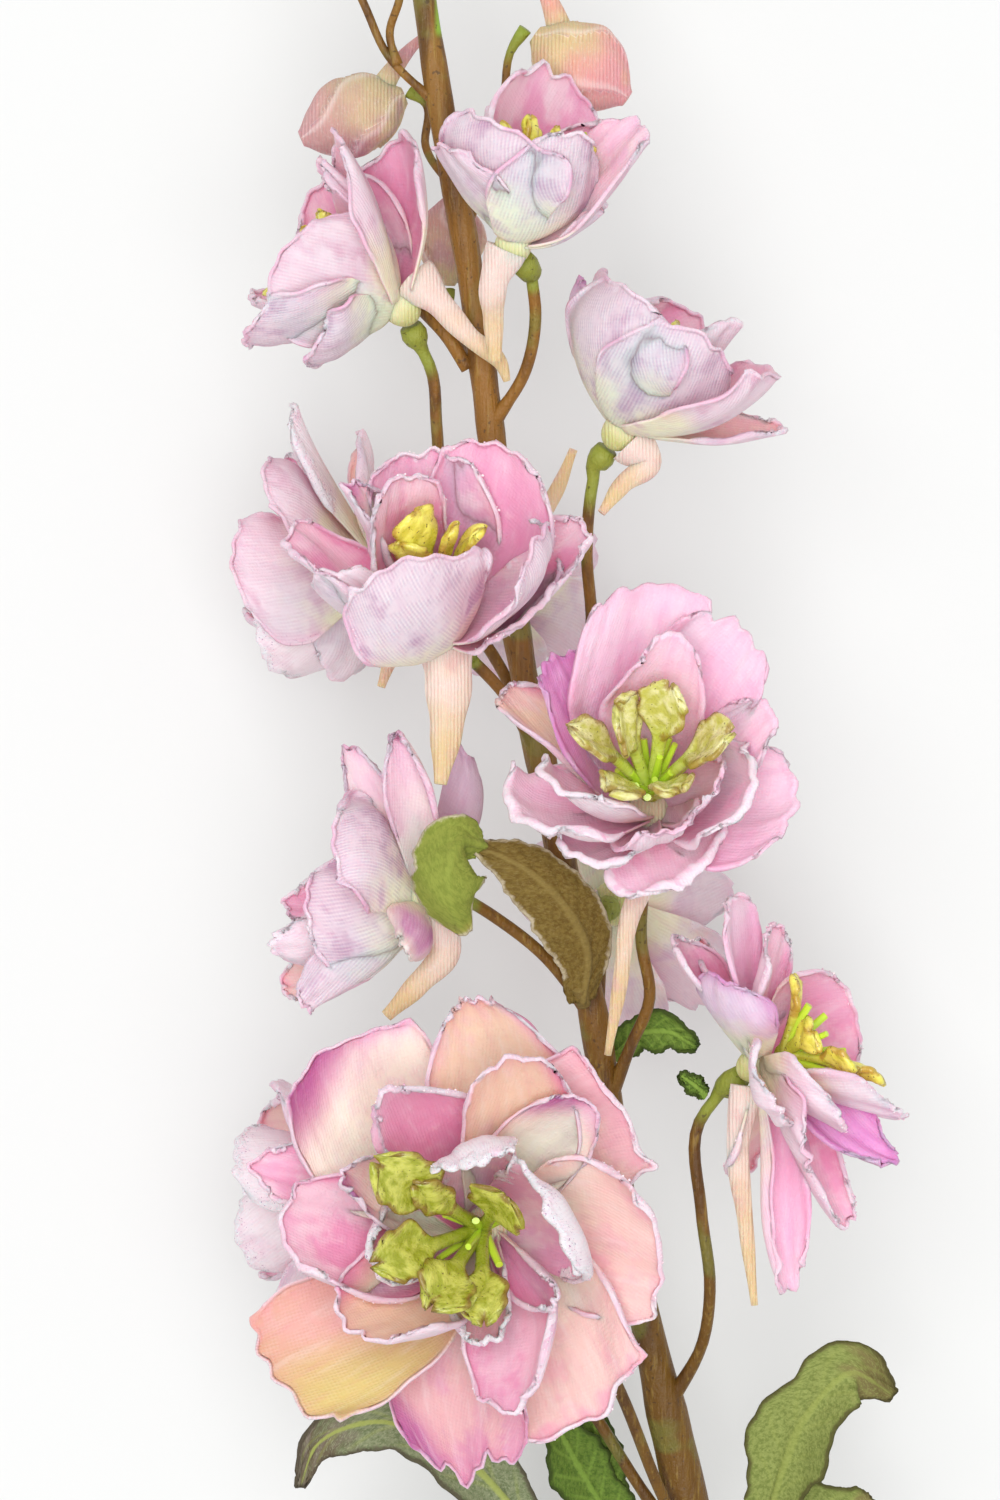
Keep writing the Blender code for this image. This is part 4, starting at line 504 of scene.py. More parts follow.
# Petal colours as six-digit screen colours: the face from root to tip with a wash and a mark, the back, the
# ribs, the dyed edge, which also stands for painted shade under the rolled rim, and the frosted crust with
# its specks. A wash or mark is a colour and its strength. The mark lies at t along and s across the petal,
# with a size. Widths and the rim's roll are millimetres, and a roll below 0 turns to the back
PLAIN = dict(
    root="F0C9C4", middle="F0B9C8", tip="F2B8CC", wash=("F9DCD6", 0.4), mark=("D98CB4", 0),
    mark_at=(0.5, 0, 0.5), both_sides=0, back_root="F0E6C6", back="EED6E0", back_stain="D2B4CA", smudge=0.6,
    ribs=0.5, rib_shade="C492A8", edge="D0669E", dye_and_rim_shade=0.4, crust="F5E8ED", frost=0.5, frost_width=1.2,
    patches=0.6, specks=0.5, speck="8E5088", roll=0.8,
)
TONES = dict(
    plum=dict(root="FFF3D8", middle="FAE0D0", tip="EBB4CC", wash=("F6BECB", 0.35), mark=("A04C8C", 0.9),
        mark_at=(1.12, 0.55, 0.46), edge="B8508E", dye_and_rim_shade=0.12, frost=0, roll=0.5),
    peach=dict(root="ECD6C3", middle="F1C8AE", tip="EBB2A4", wash=("F3BCC4", 0.45), mark=("DB6AA4", 0.75),
        mark_at=(0.85, -1.15, 0.45), edge="DC7AA2", dye_and_rim_shade=0.12, frost=0.15),
    blush=dict(root="ECD6C6", middle="EFB6BA", tip="ECA8B6", wash=("F8DCC4", 0.4), edge="D4689C", dye_and_rim_shade=0.12,
        frost=0.7, patches=1, roll=1.3),
    night=dict(root="F3DCD8", middle="EBC0CF", tip="DDA6C2", mark=("4E2444", 1), mark_at=(1.05, 0, 0.1),
        both_sides=1, back_root="F3E0D6", back="F0D2DC", back_stain="DDB4CA", ribs=0.9, edge="C0669A"),
    dusk=dict(root="F0E0BE", middle="B9719C", tip="90427A", back_root="F0E0BE", back="B982A6",
        back_stain="8E4A80", edge="F0DCC8", dye_and_rim_shade=0.7, frost=0.4, frost_width=0.8, roll=0.6),
    torn=dict(root="DEC1BE", middle="D69CAE", tip="CC88A2", wash=("EBC0A8", 0.35), mark=("93458A", 0.85),
        mark_at=(1.05, -1, 0.45), ribs=0.7, edge="B65092", dye_and_rim_shade=0.22, frost=0.15, roll=0.5),
    gold=dict(root="DDAEBA", middle="DDA8A0", tip="CCA284", wash=("EFA6B8", 0.35), mark=("CEBC78", 0.95),
        mark_at=(0.8, 0.85, 0.85), ribs=0.8, rib_shade="BF9A5A", edge="D07A94", dye_and_rim_shade=0.12, frost=0.1,
        roll=0.5),
    pink=dict(root="E18CAE", middle="E398B6", tip="ECB3C8", wash=("FAD8DC", 0.45), edge="D25A98", dye_and_rim_shade=0.2,
        frost=0.7, patches=0.8, roll=1.1),
    rose=dict(root="F0ACC8", middle="F4BAD2", tip="F5C4D6", wash=("F8D2E0", 0.45), back="F0CFDC",
        edge="DB6EA6", dye_and_rim_shade=0.16, frost=0.4, frost_width=0.8, patches=0.8, specks=0.2, roll=-0.7),
    violet=dict(root="E9B2D8", middle="DE92C8", tip="DE98C8", wash=("E8A8D4", 0.4), back="E6C2DC",
        edge="B04E9C", frost=0.3, frost_width=0.7, roll=-0.4),
    pale=dict(root="DFA0BE", middle="EBB2C6", tip="F9DDE6", back="F6E2EA", back_stain="D4B2C3", smudge=0.5,
        edge="DE8FB4", dye_and_rim_shade=0.35, frost=1, frost_width=2.3, patches=0, specks=1, roll=2),
    rolled=dict(root="EFACC8", middle="FAC4D8", tip="FAD2E0", wash=("FADDE6", 0.4), back_root="F6DFC8",
        back="FAE6EE", back_stain="F0C6D8", smudge=0.4, ribs=0.7, edge="E088B2", dye_and_rim_shade=0.25, frost=0.7,
        frost_width=1.5, patches=0, specks=0.15, roll=-1.7),
    lilac=dict(root="EAA8C2", middle="EDAAC6", tip="EFBAD0", back_root="F4ECCB", back="E2CBD6",
        back_stain="B392AC", smudge=0.8, ribs=0.9, rib_shade="A98CAE", edge="C87CAC", dye_and_rim_shade=0.16, frost=0.6,
        frost_width=1.4, patches=0.8, roll=-1),
    dim=dict(root="C9A6B8", middle="CDADC0", tip="DDB9CC", wash=("D9C0CC", 0.5), back_root="C9ABBB",
        back="CDB4C4", back_stain="B79AB2", ribs=0.7, edge="B274A0", frost=0.2, roll=-0.3),
    faded=dict(root="F0D0D8", middle="EBC2D0", tip="E6B8CC", back_root="EFD6DC", back="EBC9D6", ribs=0.4,
        edge="D08CB0", frost=0.2, roll=0.4),
    white=dict(root="EDBCCA", middle="EDB2C8", tip="F0C0D2", back_root="F5EDC6", back="E6CDD8",
        back_stain="CDA0B6", smudge=0.7, ribs=0.6, edge="D078A8", dye_and_rim_shade=0.16, frost=0.4, frost_width=0.9,
        roll=-0.6),
)

# Leaf colours: the blade's face and under side, the part past turn towards the tip, flecks, ribs and edge
LEAF_TONES = {
    "leaf olive": dict(blade="6A4F1E", blotch="4F3C16", under="66501F", under_blotch="7A6630", turn=0.97,
        tip="8C9636", tip_blotch="5E7322", fleck="8C7A48", rib="94824A", veins=0.12, midrib=0.45,
        edge="C4B89C"),
    "leaf curl": dict(blade="808A30", blotch="5F7024", under="8C9640", under_blotch="7C8836", turn=0.86,
        tip="A6A050", tip_blotch="8A8C44", fleck="96A048", rib="A0A850", veins=0, midrib=0, edge="D2C8AC"),
    "leaf grey": dict(blade="7E8A5A", blotch="647444", under="8B9270", under_blotch="6E7A55", turn=0.72,
        tip="6C5F4A", tip_blotch="83766A", fleck="A9B08C", rib="A9B45C", veins=0.22, midrib=0.8,
        edge="4F4638"),
    "leaf green": dict(blade="557A1C", blotch="3B5C14", under="6B8436", under_blotch="55702A", turn=0.9,
        tip="4C6A22", tip_blotch="3E5820", fleck="7A9C38", rib="8CAC48", veins=0.35, midrib=0.6,
        edge="38461A"),
    "leaf gold": dict(blade="7C8A38", blotch="62742A", under="8A9450", under_blotch="707C3C", turn=0.74,
        tip="6A5F34", tip_blotch="7A7044", fleck="9CA660", rib="98A252", veins=0.18, midrib=0.5,
        edge="4A4422"),
}
LOBE_LOOKS = {("leaf_middle", 1): "leaf curl"}
LEAF_LOOKS = {
    "leaf_middle": "leaf olive", "leaf_behind": "leaf green", "leaf_bract": "leaf green",
    "leaf_lower_left": "leaf grey", "leaf_lower_middle": "leaf green", "leaf_lower_right": "leaf gold",
    "leaf_base": "leaf gold",
}

# Plain cloth: near colour, far colour and stain, and for all of it one colour that paints shade along the
# folds and darkens the threads
PLAIN_CLOTHS = {
    "spur": ("EBD6CC", "DCC494", "D8B0B0"),
    "heart": ("C9CC86", "F1E9C4", "D9D29A"),
    "bud mauve": ("D2C096", "CC9E9C", "B48898"),
    "bud blush": ("DCC494", "E4A0A4", "E2AE90"),
    "bud green": ("C4C87A", "D9CFA0", "A9B45C"),
}
PAINTED_FOLD_SHADE_AND_THREAD = "B08A98"

# Moulded stamens: light colour, deep colour, burnt edge and, where it isn't the usual one, the stalk's colour
MOULDED_TONES = {
    "stamen": ("F6EE70", "DED84C", "B68630"),
    "stamen olive": ("CCCC60", "9CA228", "7E5420", "8E9E22"),
    "stamen pale": ("E8E2A4", "C6C25C", "96701C", "C0D63C"),
    "knob": ("A9B82E", "7F9420", "6A7A20"),
    "finger": ("E2F850", "C8EA34", "C8E844", "B0D428"),
}
STAMEN_FINISHES = {"front": "stamen olive", "right": "stamen pale"}

# Petals that carry loose grains of frost
GRAINY_BLOOMS = ("front", "low_right", "middle")
GRAINY_TONES = ("pale", "pink", "blush", "lilac")

# Cloth and moulded plastic as constant surface values
CLOTH = {"Specular IOR Level": 0.18, "Subsurface Weight": 0.55, "Subsurface Scale": 0.0024,
         "Subsurface Radius": (1.0, 0.45, 0.50)}
DULL_LEAF = {"Specular IOR Level": 0.22}
LIT_SURFACE = {"Emission Color": (1.0, 1.0, 1.0, 1.0), "Emission Strength": 0.34}
SMOOTH_PLASTIC = {"Specular IOR Level": 0.35}
GLOSSY_PLASTIC = {"Coat Weight": 0.35, "Coat Roughness": 0.12, "Subsurface Weight": 0.3,
                  "Subsurface Scale": 0.0012, "Subsurface Radius": (1.0, 0.9, 0.3)}

# How deep each finish's relief is, metres
CLOTH_RELIEF = 0.00022
PLAIN_CLOTH_RELIEF = 0.00025
PLASTIC_RELIEF = 0.0004
LEAF_RELIEF = 0.00018
GRAIN_RELIEF = 0.0001
FLOOR_RELIEF = 0.00001

# The photo's view, from straight above, and the light
VIEW_HEIGHT = 1.10
VIEW_LEVEL = 0.060
VIEW_TALL = 0.210
SENSOR = 36.0
FLOOR_HALF = 6
ROOM_COLOUR = (1.0, 0.998, 0.992, 1)
ROOM_LIGHT = 0.60
LAMPS = {"key light": ((-0.22, 0.32, 1.50), 0.9, 11), "fill light": ((0.10, -0.30, 1.50), 0.7, 9)}
LIT_POINT = (0, 0, 0.04)


def tint(code):
    """A linear colour from a six-digit screen colour."""
    parts = [int(code[k:k + 2], 16) / 255 for k in (0, 2, 4)]
    return tuple(p / 12.92 if p <= 0.04045 else ((p + 0.055) / 1.055) ** 2.4 for p in parts)


def place(point):
    """Millimetres in the spike's plane to metres about the shared origin."""
    x, y, z = point[:3]
    return np.array([x * MM - ORIGIN_X, y * MM - ORIGIN_Y, z * MM])


def unit(vector):
    """The vector, or each of many, at length 1."""
    return vector / np.linalg.norm(vector, axis=-1, keepdims=True)


def soft_step(value, low, high):
    """0 below low, 1 above high, smooth between."""
    x = np.clip((value - low) / (high - low), 0, 1)
    return x * x * (3 - 2 * x)


def wander(chance, waves, count=5):
    """A smooth random line, about -1 to 1, as a function of a number from 0 to 1."""
    parts = [(waves * chance.uniform(0.35, 1.6), chance.uniform(0, 2 * math.pi), chance.uniform(0.5, 1))
             for _ in range(count)]
    total = sum(p[2] for p in parts)

    def line(value):
        return sum(p[2] * np.sin(2 * math.pi * p[0] * value + p[1]) for p in parts) / total * 1.7

    return line


def curve_weights(u):
    """Weights of a curve's first point, first slope, last point and last slope, at share u along it."""
    return 2 * u**3 - 3 * u**2 + 1, u**3 - 2 * u**2 + u, 3 * u**2 - 2 * u**3, u**3 - u**2


def smooth_path(points, count):
    """Points spaced along a smooth curve through the given rows, each row any number of values."""
    rows = np.array(points, float)
    steps = np.linalg.norm(np.diff(rows[:, :3], axis=0), axis=1)
    knots = np.concatenate([[0], np.cumsum(steps)])
    slopes = np.gradient(rows, knots, axis=0)
    out = []
    for value in np.linspace(0, knots[-1], count):
        k = min(int(np.searchsorted(knots, value, side="right")) - 1, len(knots) - 2)
        span = knots[k + 1] - knots[k]
        first, leave, last, arrive = curve_weights((value - knots[k]) / span)
        out.append(first * rows[k] + leave * span * slopes[k]
                   + last * rows[k + 1] + arrive * span * slopes[k + 1])
    return np.array(out)


def placed_path(points, count):
    """A smooth path with its points placed about the shared origin."""
    return [place(row) for row in smooth_path(points, count)]


def even_grid(rows, columns):
    """Shares along a grid, 0 to 1, and across it, -1 to 1."""
    t = np.linspace(0, 1, rows)[:, None] * np.ones((1, columns))
    s = np.linspace(-1, 1, columns)[None, :] * np.ones((rows, 1))
    return t, s


def grid_normal(grid):
    """The direction that a grid's face looks in, at each of its points."""
    return unit(np.cross(np.gradient(grid, axis=0), np.gradient(grid, axis=1)))


def arc_lengths(grid, axis):
    """Length along the grid's rows or columns from its first line to each point."""
    steps = np.linalg.norm(np.diff(grid, axis=axis), axis=-1)
    start = np.zeros((1, steps.shape[1])) if axis == 0 else np.zeros((steps.shape[0], 1))
    return np.concatenate([start, np.cumsum(steps, axis=axis)], axis=axis)


def rim_distance(grid, near_root):
    """Millimetres from each point of a grid to its nearest edge, out of reach where near_root is above 0."""
    across = arc_lengths(grid, 1)
    along = arc_lengths(grid, 0)
    sides = np.minimum(across, across[:, -1:] - across)
    return np.minimum(sides, along[-1:] - along) / MM + np.clip(near_root, 0, None) * ROOT_FADE_MM


def rim_loop(rows, columns):
    """The numbers of a grid's edge points, in order round it."""
    loop = list(range(columns))
    loop += [i * columns + columns - 1 for i in range(1, rows)]
    loop += [(rows - 1) * columns + j for j in range(columns - 2, -1, -1)]
    loop += [i * columns for i in range(rows - 2, 0, -1)]
    return np.array(loop)


def side_axes(axis):
    """Two directions square to an axis and to each other."""
    across = unit(np.cross(axis, ODD_WAY))
    return across, np.cross(axis, across)


def round_profile(length, radius, end, count):
    """Rows of distance along an axis and radius for a rounded body, cut end radians short of its poles."""
    turn = np.linspace(end, math.pi - end, count)
    return [(-length * math.cos(a), radius * math.sin(a)) for a in turn]


class Skin:
    """Collects the closed sheets, rods and lumps of one piece, with the values that its pattern needs."""

    def __init__(self):
        self.points = []
        self.cloth = []
        self.where = []
        self.side = []
        self.faces = []
        self.paints = []
        self.total = 0

    def add(self, points, cloth, where, side, faces, paint):
        """Adds vertices with their pattern values and the faces over them."""
        self.points.append(points)
        self.cloth.append(cloth)
        self.where.append(where)
        self.side.append(side)
        self.faces += [tuple(int(v) + self.total for v in face) for face in faces]
        self.paints += [paint] * len(faces)
        self.total += len(points)

    def sheet(self, grid, thick, chance, paint, root_free=0.3, rim=None):
        """A thin closed sheet over a grid whose rows run from root to tip. Thick is a number or a grid."""
        rows, columns = grid.shape[:2]
        normal = grid_normal(grid)
        thick = np.broadcast_to(thick, (rows, columns))[..., None]
        across = arc_lengths(grid, 1) / MM
        along = arc_lengths(grid, 0) / MM
        middle = across[:, columns // 2:columns // 2 + 1]
        t, s = even_grid(rows, columns)
        if rim is None:
            rim = rim_distance(grid, root_free - t)
        cloth = np.stack([across - middle, along, np.full_like(t, chance * CLOTH_SPREAD_MM)], axis=-1)
        where = np.stack([t, s, rim], axis=-1)
        top = (grid + normal * thick / 2).reshape(-1, 3)
        bottom = (grid - normal * thick / 2).reshape(-1, 3)
        count = rows * columns
        i, j = np.meshgrid(np.arange(rows - 1), np.arange(columns - 1), indexing="ij")
        a = (i * columns + j).ravel()
        b, c, d = a + 1, a + columns, a + columns + 1
        faces = list(np.stack([a, c, d, b], axis=1))
        faces += list(np.stack([a, b, d, c], axis=1) + count)
        loop = rim_loop(rows, columns)
        after = np.roll(loop, -1)
        faces += list(np.stack([loop, after, after + count, loop + count], axis=1))
        points = np.vstack([top, bottom])
        cloth = np.tile(cloth.reshape(-1, 3), (2, 1))
        where = np.tile(where.reshape(-1, 3), (2, 1))
        side = np.concatenate([np.ones(count), np.zeros(count)])
        self.add(points, cloth, where, side, faces, paint)

    def rings(self, points, ends, share, marks, end_marks, paint):
        """Rings of points one after the other as a closed body, with a point in the middle of each end."""
        rings, sides = points.shape[:2]
        points = np.vstack([points.reshape(-1, 3), ends])
        faces = []
        for ring in range(rings - 1):
            for k in range(sides):
                a, b = ring * sides + k, ring * sides + (k + 1) % sides
                faces.append((a, b, b + sides, a + sides))
        last = (rings - 1) * sides
        for k in range(sides):
            faces.append((rings * sides, (k + 1) % sides, k))
            faces.append((rings * sides + 1, last + k, last + (k + 1) % sides))
        t = np.concatenate([np.repeat(share, sides), [0, 1]])
        s = np.concatenate([marks, end_marks])
        where = np.stack([t, s, np.full_like(t, FAR_FROM_RIM_MM)], axis=-1)
        self.add(points, points / MM, where, np.ones(len(points)), faces, paint)

    def rod(self, centres, radii, sides, paint, flat=1.0, seat=None, ridge=0.0):
        """A round or flattened rod through the centres, closed at both ends."""
        centres = np.array(centres)
        radii = np.array(radii)
        tangents = unit(np.gradient(centres, axis=0))
        steep = np.abs(tangents[:, 2]).max() > 0.95
        across = unit(np.cross(tangents, np.array([0.3, 0.2, 1.0]) if steep else np.array([0, 0, 1.0])))
        rise = np.cross(across, tangents)
        turn = (np.arange(sides) + 0.5) * 2 * math.pi / sides - math.pi / 2
        wide = radii[:, None] * (1 + ridge * np.cos(5 * turn))[None, :]
        points = (centres[:, None, :] + (wide * np.cos(turn))[..., None] * across[:, None, :]
                  + (wide * np.sin(turn) * flat)[..., None] * rise[:, None, :])
        share = np.linspace(0, 1, len(centres))
        marks = np.zeros(len(centres)) if seat is None else np.array(seat)
        ends = [centres[0], centres[-1]]
        self.rings(points, ends, share, np.repeat(marks, sides), [marks[0], marks[-1]], paint)

    def lump(self, centre, axis, profile, paint, sides=20, form=None, mark=None):
        """A closed body turned round an axis. Profile rows are distance along the axis and radius, metres."""
        axis = unit(np.array(axis, float))
        across, other = side_axes(axis)
        turn = np.arange(sides) * 2 * math.pi / sides
        along, wide = np.array(profile).T
        share = (along - along[0]) / (along[-1] - along[0])
        reach = wide[:, None] * np.ones((1, sides))
        if form is not None:
            reach = reach * form(turn[None, :], share[:, None])
        spokes = np.cos(turn)[None, :, None] * across + np.sin(turn)[None, :, None] * other
        points = centre + along[:, None, None] * axis + reach[..., None] * spokes
        ends = [centre + along[0] * axis, centre + along[-1] * axis]
        marks = np.zeros(len(along) * sides) if mark is None else mark(turn[None, :], share[:, None]).ravel()
        self.rings(points, ends, share, marks, [0, 0], paint)

    def piece(self, name, materials, nodes, slot):
        """The finished mesh object, in place of the given nodes."""
        mesh = bpy.data.meshes.new(name)
        mesh.from_pydata(np.vstack(self.points).tolist(), [], self.faces)
        for title, values in (("cloth", self.cloth), ("where", self.where)):
            layer = mesh.attributes.new(title, "FLOAT_VECTOR", "POINT")
            layer.data.foreach_set("vector", np.vstack(values).astype(np.float32).ravel())
        layer = mesh.attributes.new("side", "FLOAT", "POINT")
        layer.data.foreach_set("value", np.concatenate(self.side).astype(np.float32))
        names = sorted(set(self.paints))
        for paint in names:
            mesh.materials.append(materials[paint])
        numbers = {paint: k for k, paint in enumerate(names)}
        mesh.polygons.foreach_set("material_index", [numbers[paint] for paint in self.paints])
        mesh.polygons.foreach_set("use_smooth", [True] * len(self.faces))
        work = bmesh.new()
        work.from_mesh(mesh)
        bmesh.ops.recalc_face_normals(work, faces=work.faces)
        work.to_mesh(mesh)
        work.free()
        put(name, mesh, nodes)


def put(name, mesh, nodes):
    """A piece that rides on the root and stands for the given nodes."""
    piece = bpy.data.objects.new(name, mesh)
    bpy.context.scene.collection.objects.link(piece)
    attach(piece, "root")
    if nodes:
        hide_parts(*nodes)


def stem_point_near(point):
    """The closest point of the main stem's centre line, with the stem's radius there."""
    line = smooth_path(STEM_PATH, 400)
    places = np.array([place(row) for row in line])
    k = int(np.argmin(np.linalg.norm(places - point, axis=1)))
    return places[k], line[k][3] * MM


def cell_of(name):
    """The planes that keep one bloom clear of its neighbours and the stem: (normal, distance)."""
    bloom = BLOOMS[name]
    middle = place(bloom["middle"])
    planes = []
    for other_name, other in BLOOMS.items():
        if other_name == name:
            continue
        gap = place(other["middle"]) - middle
        distance = np.linalg.norm(gap)
        own = bloom["reach"] * MM
        theirs = other["reach"] * MM
        share = (distance**2 + own**2 - theirs**2) / (2 * distance)
        planes.append((gap / distance, share - NODE_GAP - PETAL_THICK / 2))
    near, radius = stem_point_near(middle)
    away = near - middle
    distance = np.linalg.norm(away)
    planes.append((away / distance, distance - radius - STEM_CLEAR - PETAL_THICK / 2))
    return middle, planes


def confine(points, cell):
    """Draws points softly in to the cell's middle, so that none passes a plane of the cell or the floor."""
    middle, planes = cell
    away = points - middle
    load = np.zeros(points.shape[:-1])
    for normal, distance in planes:
        load += (np.clip(away @ normal, 0, None) / distance) ** CELL_SHARPNESS
    drawn = middle + away * ((1 + load) ** (-1 / CELL_SHARPNESS))[..., None]
    drawn[..., 2] = np.maximum(drawn[..., 2], PETAL_THICK / 2)
    return drawn


def petal_frame(bloom, tip):
    """The bloom's core and axis, and the outward direction of the petal with this tip."""
    core = place(bloom["core"])
    axis = unit(np.array(bloom["axis"], float))
    reach = tip - core
    radial = unit(reach - axis * (reach @ axis))
    return core, axis, radial


def turn_to_view(side, inward):
    """The smaller turn about its midrib that lays a petal's face level."""
    up = math.atan2(-side[2], inward[2])
    down = math.atan2(side[2], -inward[2])
    return up if abs(up) < abs(down) else down


def petal_width(t, blunt):
    """Share of its full width that a petal has at t along it."""
    opening = np.sin(np.clip(t / WIDEST_AT, 0, 1) * math.pi / 2)
    closing = np.cos(np.clip((t - WIDEST_AT) / (1 - WIDEST_AT), 0, 1) * math.pi / 2) ** 0.8
    return np.where(t < WIDEST_AT, ROOT_WIDTH + (1 - ROOT_WIDTH) * opening, blunt + (1 - blunt) * closing)


def leaning(axis, radial, degrees):
    """A direction that many degrees from the axis, towards radial."""
    return radial * math.sin(math.radians(degrees)) + axis * math.cos(math.radians(degrees))


def petal_spine(u, root, leave, tip, arrive):
    """The midrib at share u along it and the way it runs there, from root to tip with a slope at each."""
    slopes = (6 * u**2 - 6 * u, 3 * u**2 - 4 * u + 1, 6 * u - 6 * u**2, 3 * u**2 - 2 * u)
    anchors = (root, leave, tip, arrive)
    spine = sum(weight[..., None] * anchor for weight, anchor in zip(curve_weights(u), anchors))
    tangent = unit(sum(weight[..., None] * anchor for weight, anchor in zip(slopes, anchors)))
    return spine, tangent


def petal_surface(name, index, t, s, cell):
    """Middle surface of one petal at t along it and s across it, both arrays."""
    bloom = BLOOMS[name]
    x, y, z, width, lift, end_lift, cup, blunt, _ = bloom["petals"][index]
    tip = place((x, y, z))
    core, axis, radial = petal_frame(bloom, tip)
    side = np.cross(axis, radial)
    chance = random.Random(f"{name} petal {index}")
    sway = chance.uniform(-PETAL_SWAY, PETAL_SWAY)
    loose = chance.uniform(-PETAL_TWIST, PETAL_TWIST)
    ruffle = chance.uniform(0.05, 0.09) * RUFFLE
    phase = chance.uniform(0, 2 * math.pi)
    turns = chance.uniform(0.8, 1.3)
    rounding = 0.07 + 0.12 * (1 - blunt)
    u = t * (1 - rounding * np.abs(s) ** 2.2)
    start = leaning(axis, radial, lift)
    end = leaning(axis, radial, end_lift)
    root = core + start * ROOT_DEPTH * bloom["heart"] * MM
    chord = np.linalg.norm(tip - root)
    spine, tangent = petal_spine(u, root, start * chord * SPINE_PULL, tip, end * chord * SPINE_PULL)
    inward = np.cross(side, tangent)
    inward *= np.sign(inward @ axis * (tangent @ radial) - inward @ radial * (tangent @ axis))[..., None]
    roll = PINWHEEL + loose + bloom["facing"] * turn_to_view(side, inward[-1, 0])
    half = width * MM / 2 * bloom["fullness"] * petal_width(t, blunt)
    bend = cup * s
    across = half * np.sin(bend) / cup
    rise = half * (1 - np.cos(bend)) / cup
    wave = half * ruffle * t**1.5 * np.abs(s) ** 1.5 * np.sin(2 * math.pi * turns * t + phase + 1.4 * s)
    drift = sway * chord * np.sin(math.pi * np.clip(t, 0, 1))
    lateral = across * math.cos(roll) - (rise + wave) * math.sin(roll) + drift
    raised = across * math.sin(roll) + (rise + wave) * math.cos(roll)
    return confine(spine + lateral[..., None] * side + raised[..., None] * inward, cell)


def torn_outline(name, index, roll, t, s, ragged, nicks, edge):
    """Shares along and across a petal for its grid, with frayed sides and cloth to spare for a roll."""
    bloom = BLOOMS[name]
    row = bloom["petals"][index]
    tone = row[8]
    frayed = FRAYED_TONES.get(tone, FRAYED)
    length = np.linalg.norm(place(row[:3]) - place(bloom["core"])) / MM
    longer = 1 + ROLL_SPARE * abs(roll) / length
    wider = 1 + ROLL_SPARE * abs(roll) / (row[3] * bloom["fullness"] / 2)
    frays = 0.012 + frayed * (RAGGED * ragged(s) + NICK * nicks(s))
    along = t * longer * (1 - soft_step(t, 0.5, 1) * frays)
    if tone == "torn":
        along = along * (1 - TEAR_DEPTH * soft_step(t, 0.6, 1) * np.exp(-((s - TEAR_AT) / TEAR_WIDTH) ** 2))
    frays = 0.014 + frayed * (RAGGED * edge(t) + NICK * nicks(t))
    across = s * (1 + (wider - 1) * soft_step(t, 0.2, 0.5)) * (1 - soft_step(np.abs(s), 0.5, 1) * frays)
    return along, across


def add_petal(skin, name, index, cell, rims):
    """One cloth petal with waved faces, torn edges and a rolled rim."""
    row = BLOOMS[name]["petals"][index]
    lift, tone = math.radians(row[4]), row[8]
    roll = {**PLAIN, **TONES[tone]}["roll"]
    roll = math.copysign(min(abs(roll), ROLL_LIMIT * row[3]), roll)
    rows, columns = GRIDS.get(name, MIDDLE_GRID)
    chance = random.Random(f"{name} cloth {index}")
    ragged, nicks, edge = wander(chance, 1.6), wander(chance, 9), wander(chance, 2.4)
    t, s = even_grid(rows, columns)
    t = 1 - (1 - t) ** TIP_CROWDING
    s = np.sign(s) * (1 - (1 - np.abs(s)) ** SIDE_CROWDING)
    along, across = torn_outline(name, index, roll, t, s, ragged, nicks, edge)
    grid = petal_surface(name, index, along, across, cell)
    _, axis, radial = petal_frame(BLOOMS[name], place(row[:3]))
    inner = axis * math.sin(lift) - radial * math.cos(lift)
    normal = grid_normal(grid)
    if normal[rows // 3, columns // 2] @ inner < 0:
        grid, normal = grid[:, ::-1], -normal[:, ::-1]
        t, s = t[:, ::-1], s[:, ::-1]
    crimp, crease, fold = wander(chance, 6), wander(chance, 2.6), wander(chance, 5.0)
    around = s * 0.5 + t * 0.5
    away = CREASE_MM * crease(s * 0.5 + 0.10 * t) * t**0.7 + FOLD_MM * fold(s * 0.7 + 0.3 * t) * t
    uneven = 1 + 0.22 * edge(around * 0.8 + 0.3) + 0.03 * crimp(around)
    depth = abs(roll) * soft_step(t, 0.25, 0.55) * uneven
    rim = rim_distance(grid, ROOT_FREE - t)
    depth = np.clip(depth, SHALLOWEST_ROLL_MM, None)
    grid = roll_rim(grid + normal * (away * MM)[..., None], normal, depth, np.sign(roll))
    grid[..., 2] = np.maximum(grid[..., 2], PETAL_THICK / 2)
    crust = (1 - soft_step(rim, *CRUST_BAND_MM)) * (0.65 + 0.35 * crimp(around * 2.3))
    skin.sheet(grid, CLOTH_THICK + CRUST_THICK * crust, chance.uniform(0, 1), tone, rim=rim)
    if name in GRAINY_BLOOMS and tone in GRAINY_TONES:
        rims.append(upper_rim(grid))


def upper_rim(grid):
    """The line of points just inside a petal's rim, from one side over the tip to the other."""
    rows, columns = grid.shape[:2]
    low, high = rows * 2 // 5, rows - 3
    loop = [(i, 2) for i in range(low, high)] + [(high, j) for j in range(2, columns - 2)]
    loop += [(i, columns - 3) for i in range(high, low, -1)]
    return np.array([grid[i, j] for i, j in loop])


